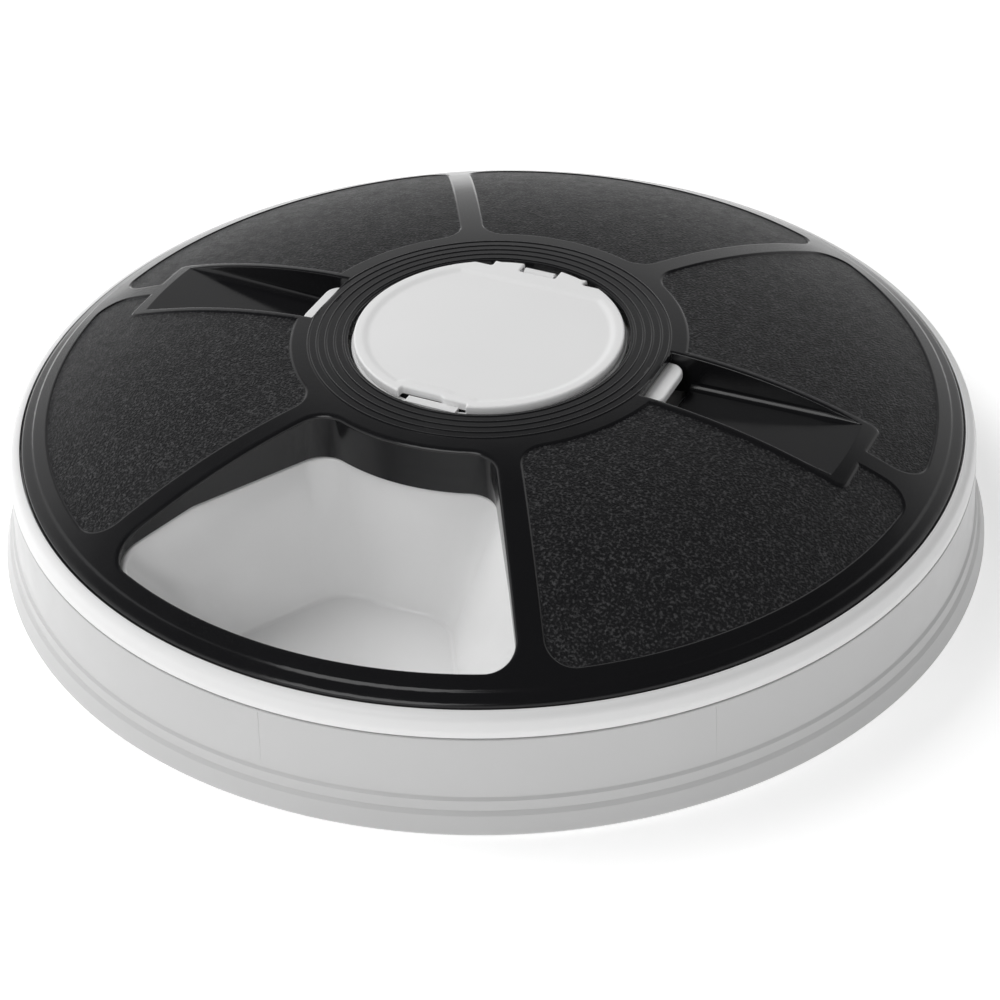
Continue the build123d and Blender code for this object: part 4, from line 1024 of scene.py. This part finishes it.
def add_cover(materials):
    shell = Shell()
    outline = cover_outline()
    disc_edge = COVER_CHORD - COVER_HINGE_BAND

    def inside(x, y):
        return inside_outline(x, y, outline)

    def top(x, y):
        edge = outline_distance(x, y, outline)
        from_rim = np.minimum(np.minimum(edge, COVER_RADIUS - np.hypot(x, y)), disc_edge - y + COVER_BAND)
        dish = COVER_DISH * smooth((from_rim - COVER_BAND) / COVER_BANK)
        return COVER_TOP_Z - dish - roll(edge, COVER_ROLL)

    loops = [outline] + [moved_in(outline, d) for d in (0.08, 0.25, 0.5, 0.8)]
    fill = polar_fill(0.5, COVER_RADIUS + 1, 0.7)
    points, faces = triangulate(loops, [], fill, inside, 0.45)
    shell.add(at_height(points, top(*points.T)), faces)
    low, low_faces = triangulate([outline], [], polar_fill(1, 41, 4), inside, 2)
    shell.add(at_height(low, COVER_LOW_Z), low_faces)
    bridge(shell, [at_height(outline, z) for z in (COVER_TOP_Z - COVER_ROLL, COVER_LOW_Z)])
    # the two hinge barrels under the tabs, bored for the pin
    for near, far in TAB_SPANS:
        barrel = rounded_profile((
            (BARREL_RADIUS, near, 0.25), (BARREL_RADIUS, far, 0.25),
            (PIN_HOLE_RADIUS, far, 0.1), (PIN_HOLE_RADIUS, near, 0.1),
        ))
        around = np.radians(np.arange(0, 360, 7.5))
        rings = [np.array([(x, HINGE_Y + r * math.cos(a), HINGE_Z + r * math.sin(a)) for r, x in barrel])
                 for a in around]
        bridge(shell, rings, closed=True)
    shell.build("cover_moulding", [materials["cover_white"]], "cover", "control_cover")


# ---- squeeze latches and their springs ----------------------------------------------------------------
PAD_INNER = 48.6
PAD_REACH = 62.8
PAD_HALF = 12.0
PAD_CORNER = 5.0
PAD_LOW_Z = 60.2
PAD_HIGH_Z = 62.9
ARM_INNER = 30.5
ARM_REACH = 61.0
ARM_HALF = 9.0
ARM_LOW_Z = 58.0
ARM_CORNER = 0.6
SPRING_SEAT = 22.6
SPRING_LENGTH = 7.9
SPRING_RADIUS = 1.1
SPRING_WIRE = 0.2
SPRING_TURNS = 6.6
SPRING_AXIS_Z = 59.1


def add_block(shell, low, high, half, corner, levels):
    """A block with rounded corners: each level is (distance in from the outline, height)."""
    core = ((low + corner, corner - half), (high - corner, corner - half),
            (high - corner, half - corner), (low + corner, half - corner))
    loops = [at_height(quad_loop(core, corner - inset, 6), z) for inset, z in levels]
    bridge(shell, loops)
    for loop in (loops[0], loops[-1]):
        shell.add(loop, [tuple(range(len(loop)))])


def add_latch(name, side, materials):
    """A squeeze pad with its softened upper edge, on the flat arm that slides in the hub."""
    shell = Shell()
    add_block(shell, PAD_INNER, PAD_REACH, PAD_HALF, PAD_CORNER, (
        (0.4, PAD_LOW_Z), (0.0, PAD_LOW_Z + 0.4), (0.0, PAD_HIGH_Z - 0.9), (0.1, PAD_HIGH_Z - 0.5),
        (0.35, PAD_HIGH_Z - 0.2), (0.9, PAD_HIGH_Z),
    ))
    add_block(shell, ARM_INNER, ARM_REACH, ARM_HALF, ARM_CORNER, ((0, ARM_LOW_Z), (0, PAD_LOW_Z + 0.1)))
    shell.points = shell.points * (side, 1, 1)
    shell.build(f"{name}_slide", [materials["cover_white"]], name, name)


def add_latch_spring(name, side, materials):
    """A coil spring between the hub and the latch, built at its rest length only."""
    steps, around = 160, 10
    whole_turn = 2 * math.pi * SPRING_TURNS
    points = []
    for turn in np.linspace(0, whole_turn, steps):
        along = SPRING_SEAT + SPRING_WIRE + (SPRING_LENGTH - 2 * SPRING_WIRE) * turn / whole_turn
        outward = np.array((0, math.cos(turn), math.sin(turn)))
        for spin in np.linspace(0, 2 * math.pi, around, endpoint=False):
            offset = outward * (SPRING_RADIUS + SPRING_WIRE * math.cos(spin))
            points.append(offset + np.array((along + SPRING_WIRE * math.sin(spin), 0, SPRING_AXIS_Z)))
    rings = np.array(points).reshape(steps, around, 3) * (side, 1, 1)
    shell = Shell()
    bridge(shell, list(rings))
    for ring in (rings[0], rings[-1]):
        shell.add(ring, [tuple(range(around))])
    coil = shell.build(f"{name}_coil", [materials["steel"]], "base", f"{name}_spring")
    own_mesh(coil)


bpy.context.scene.view_settings.view_transform = "Standard"
add_camera()
add_world()
add_floor()
add_area_light("key", **KEY)
add_area_light("fill", **FILL)
materials = build_materials()
paint_cad_nodes(materials)
add_lid(materials)
add_tray(materials)
add_lower_shell(materials)
add_upper_deck(materials)
add_cover(materials)
for latch_name, latch_side in (("right_latch", 1), ("left_latch", -1)):
    add_latch(latch_name, latch_side, materials)
    add_latch_spring(latch_name, latch_side, materials)
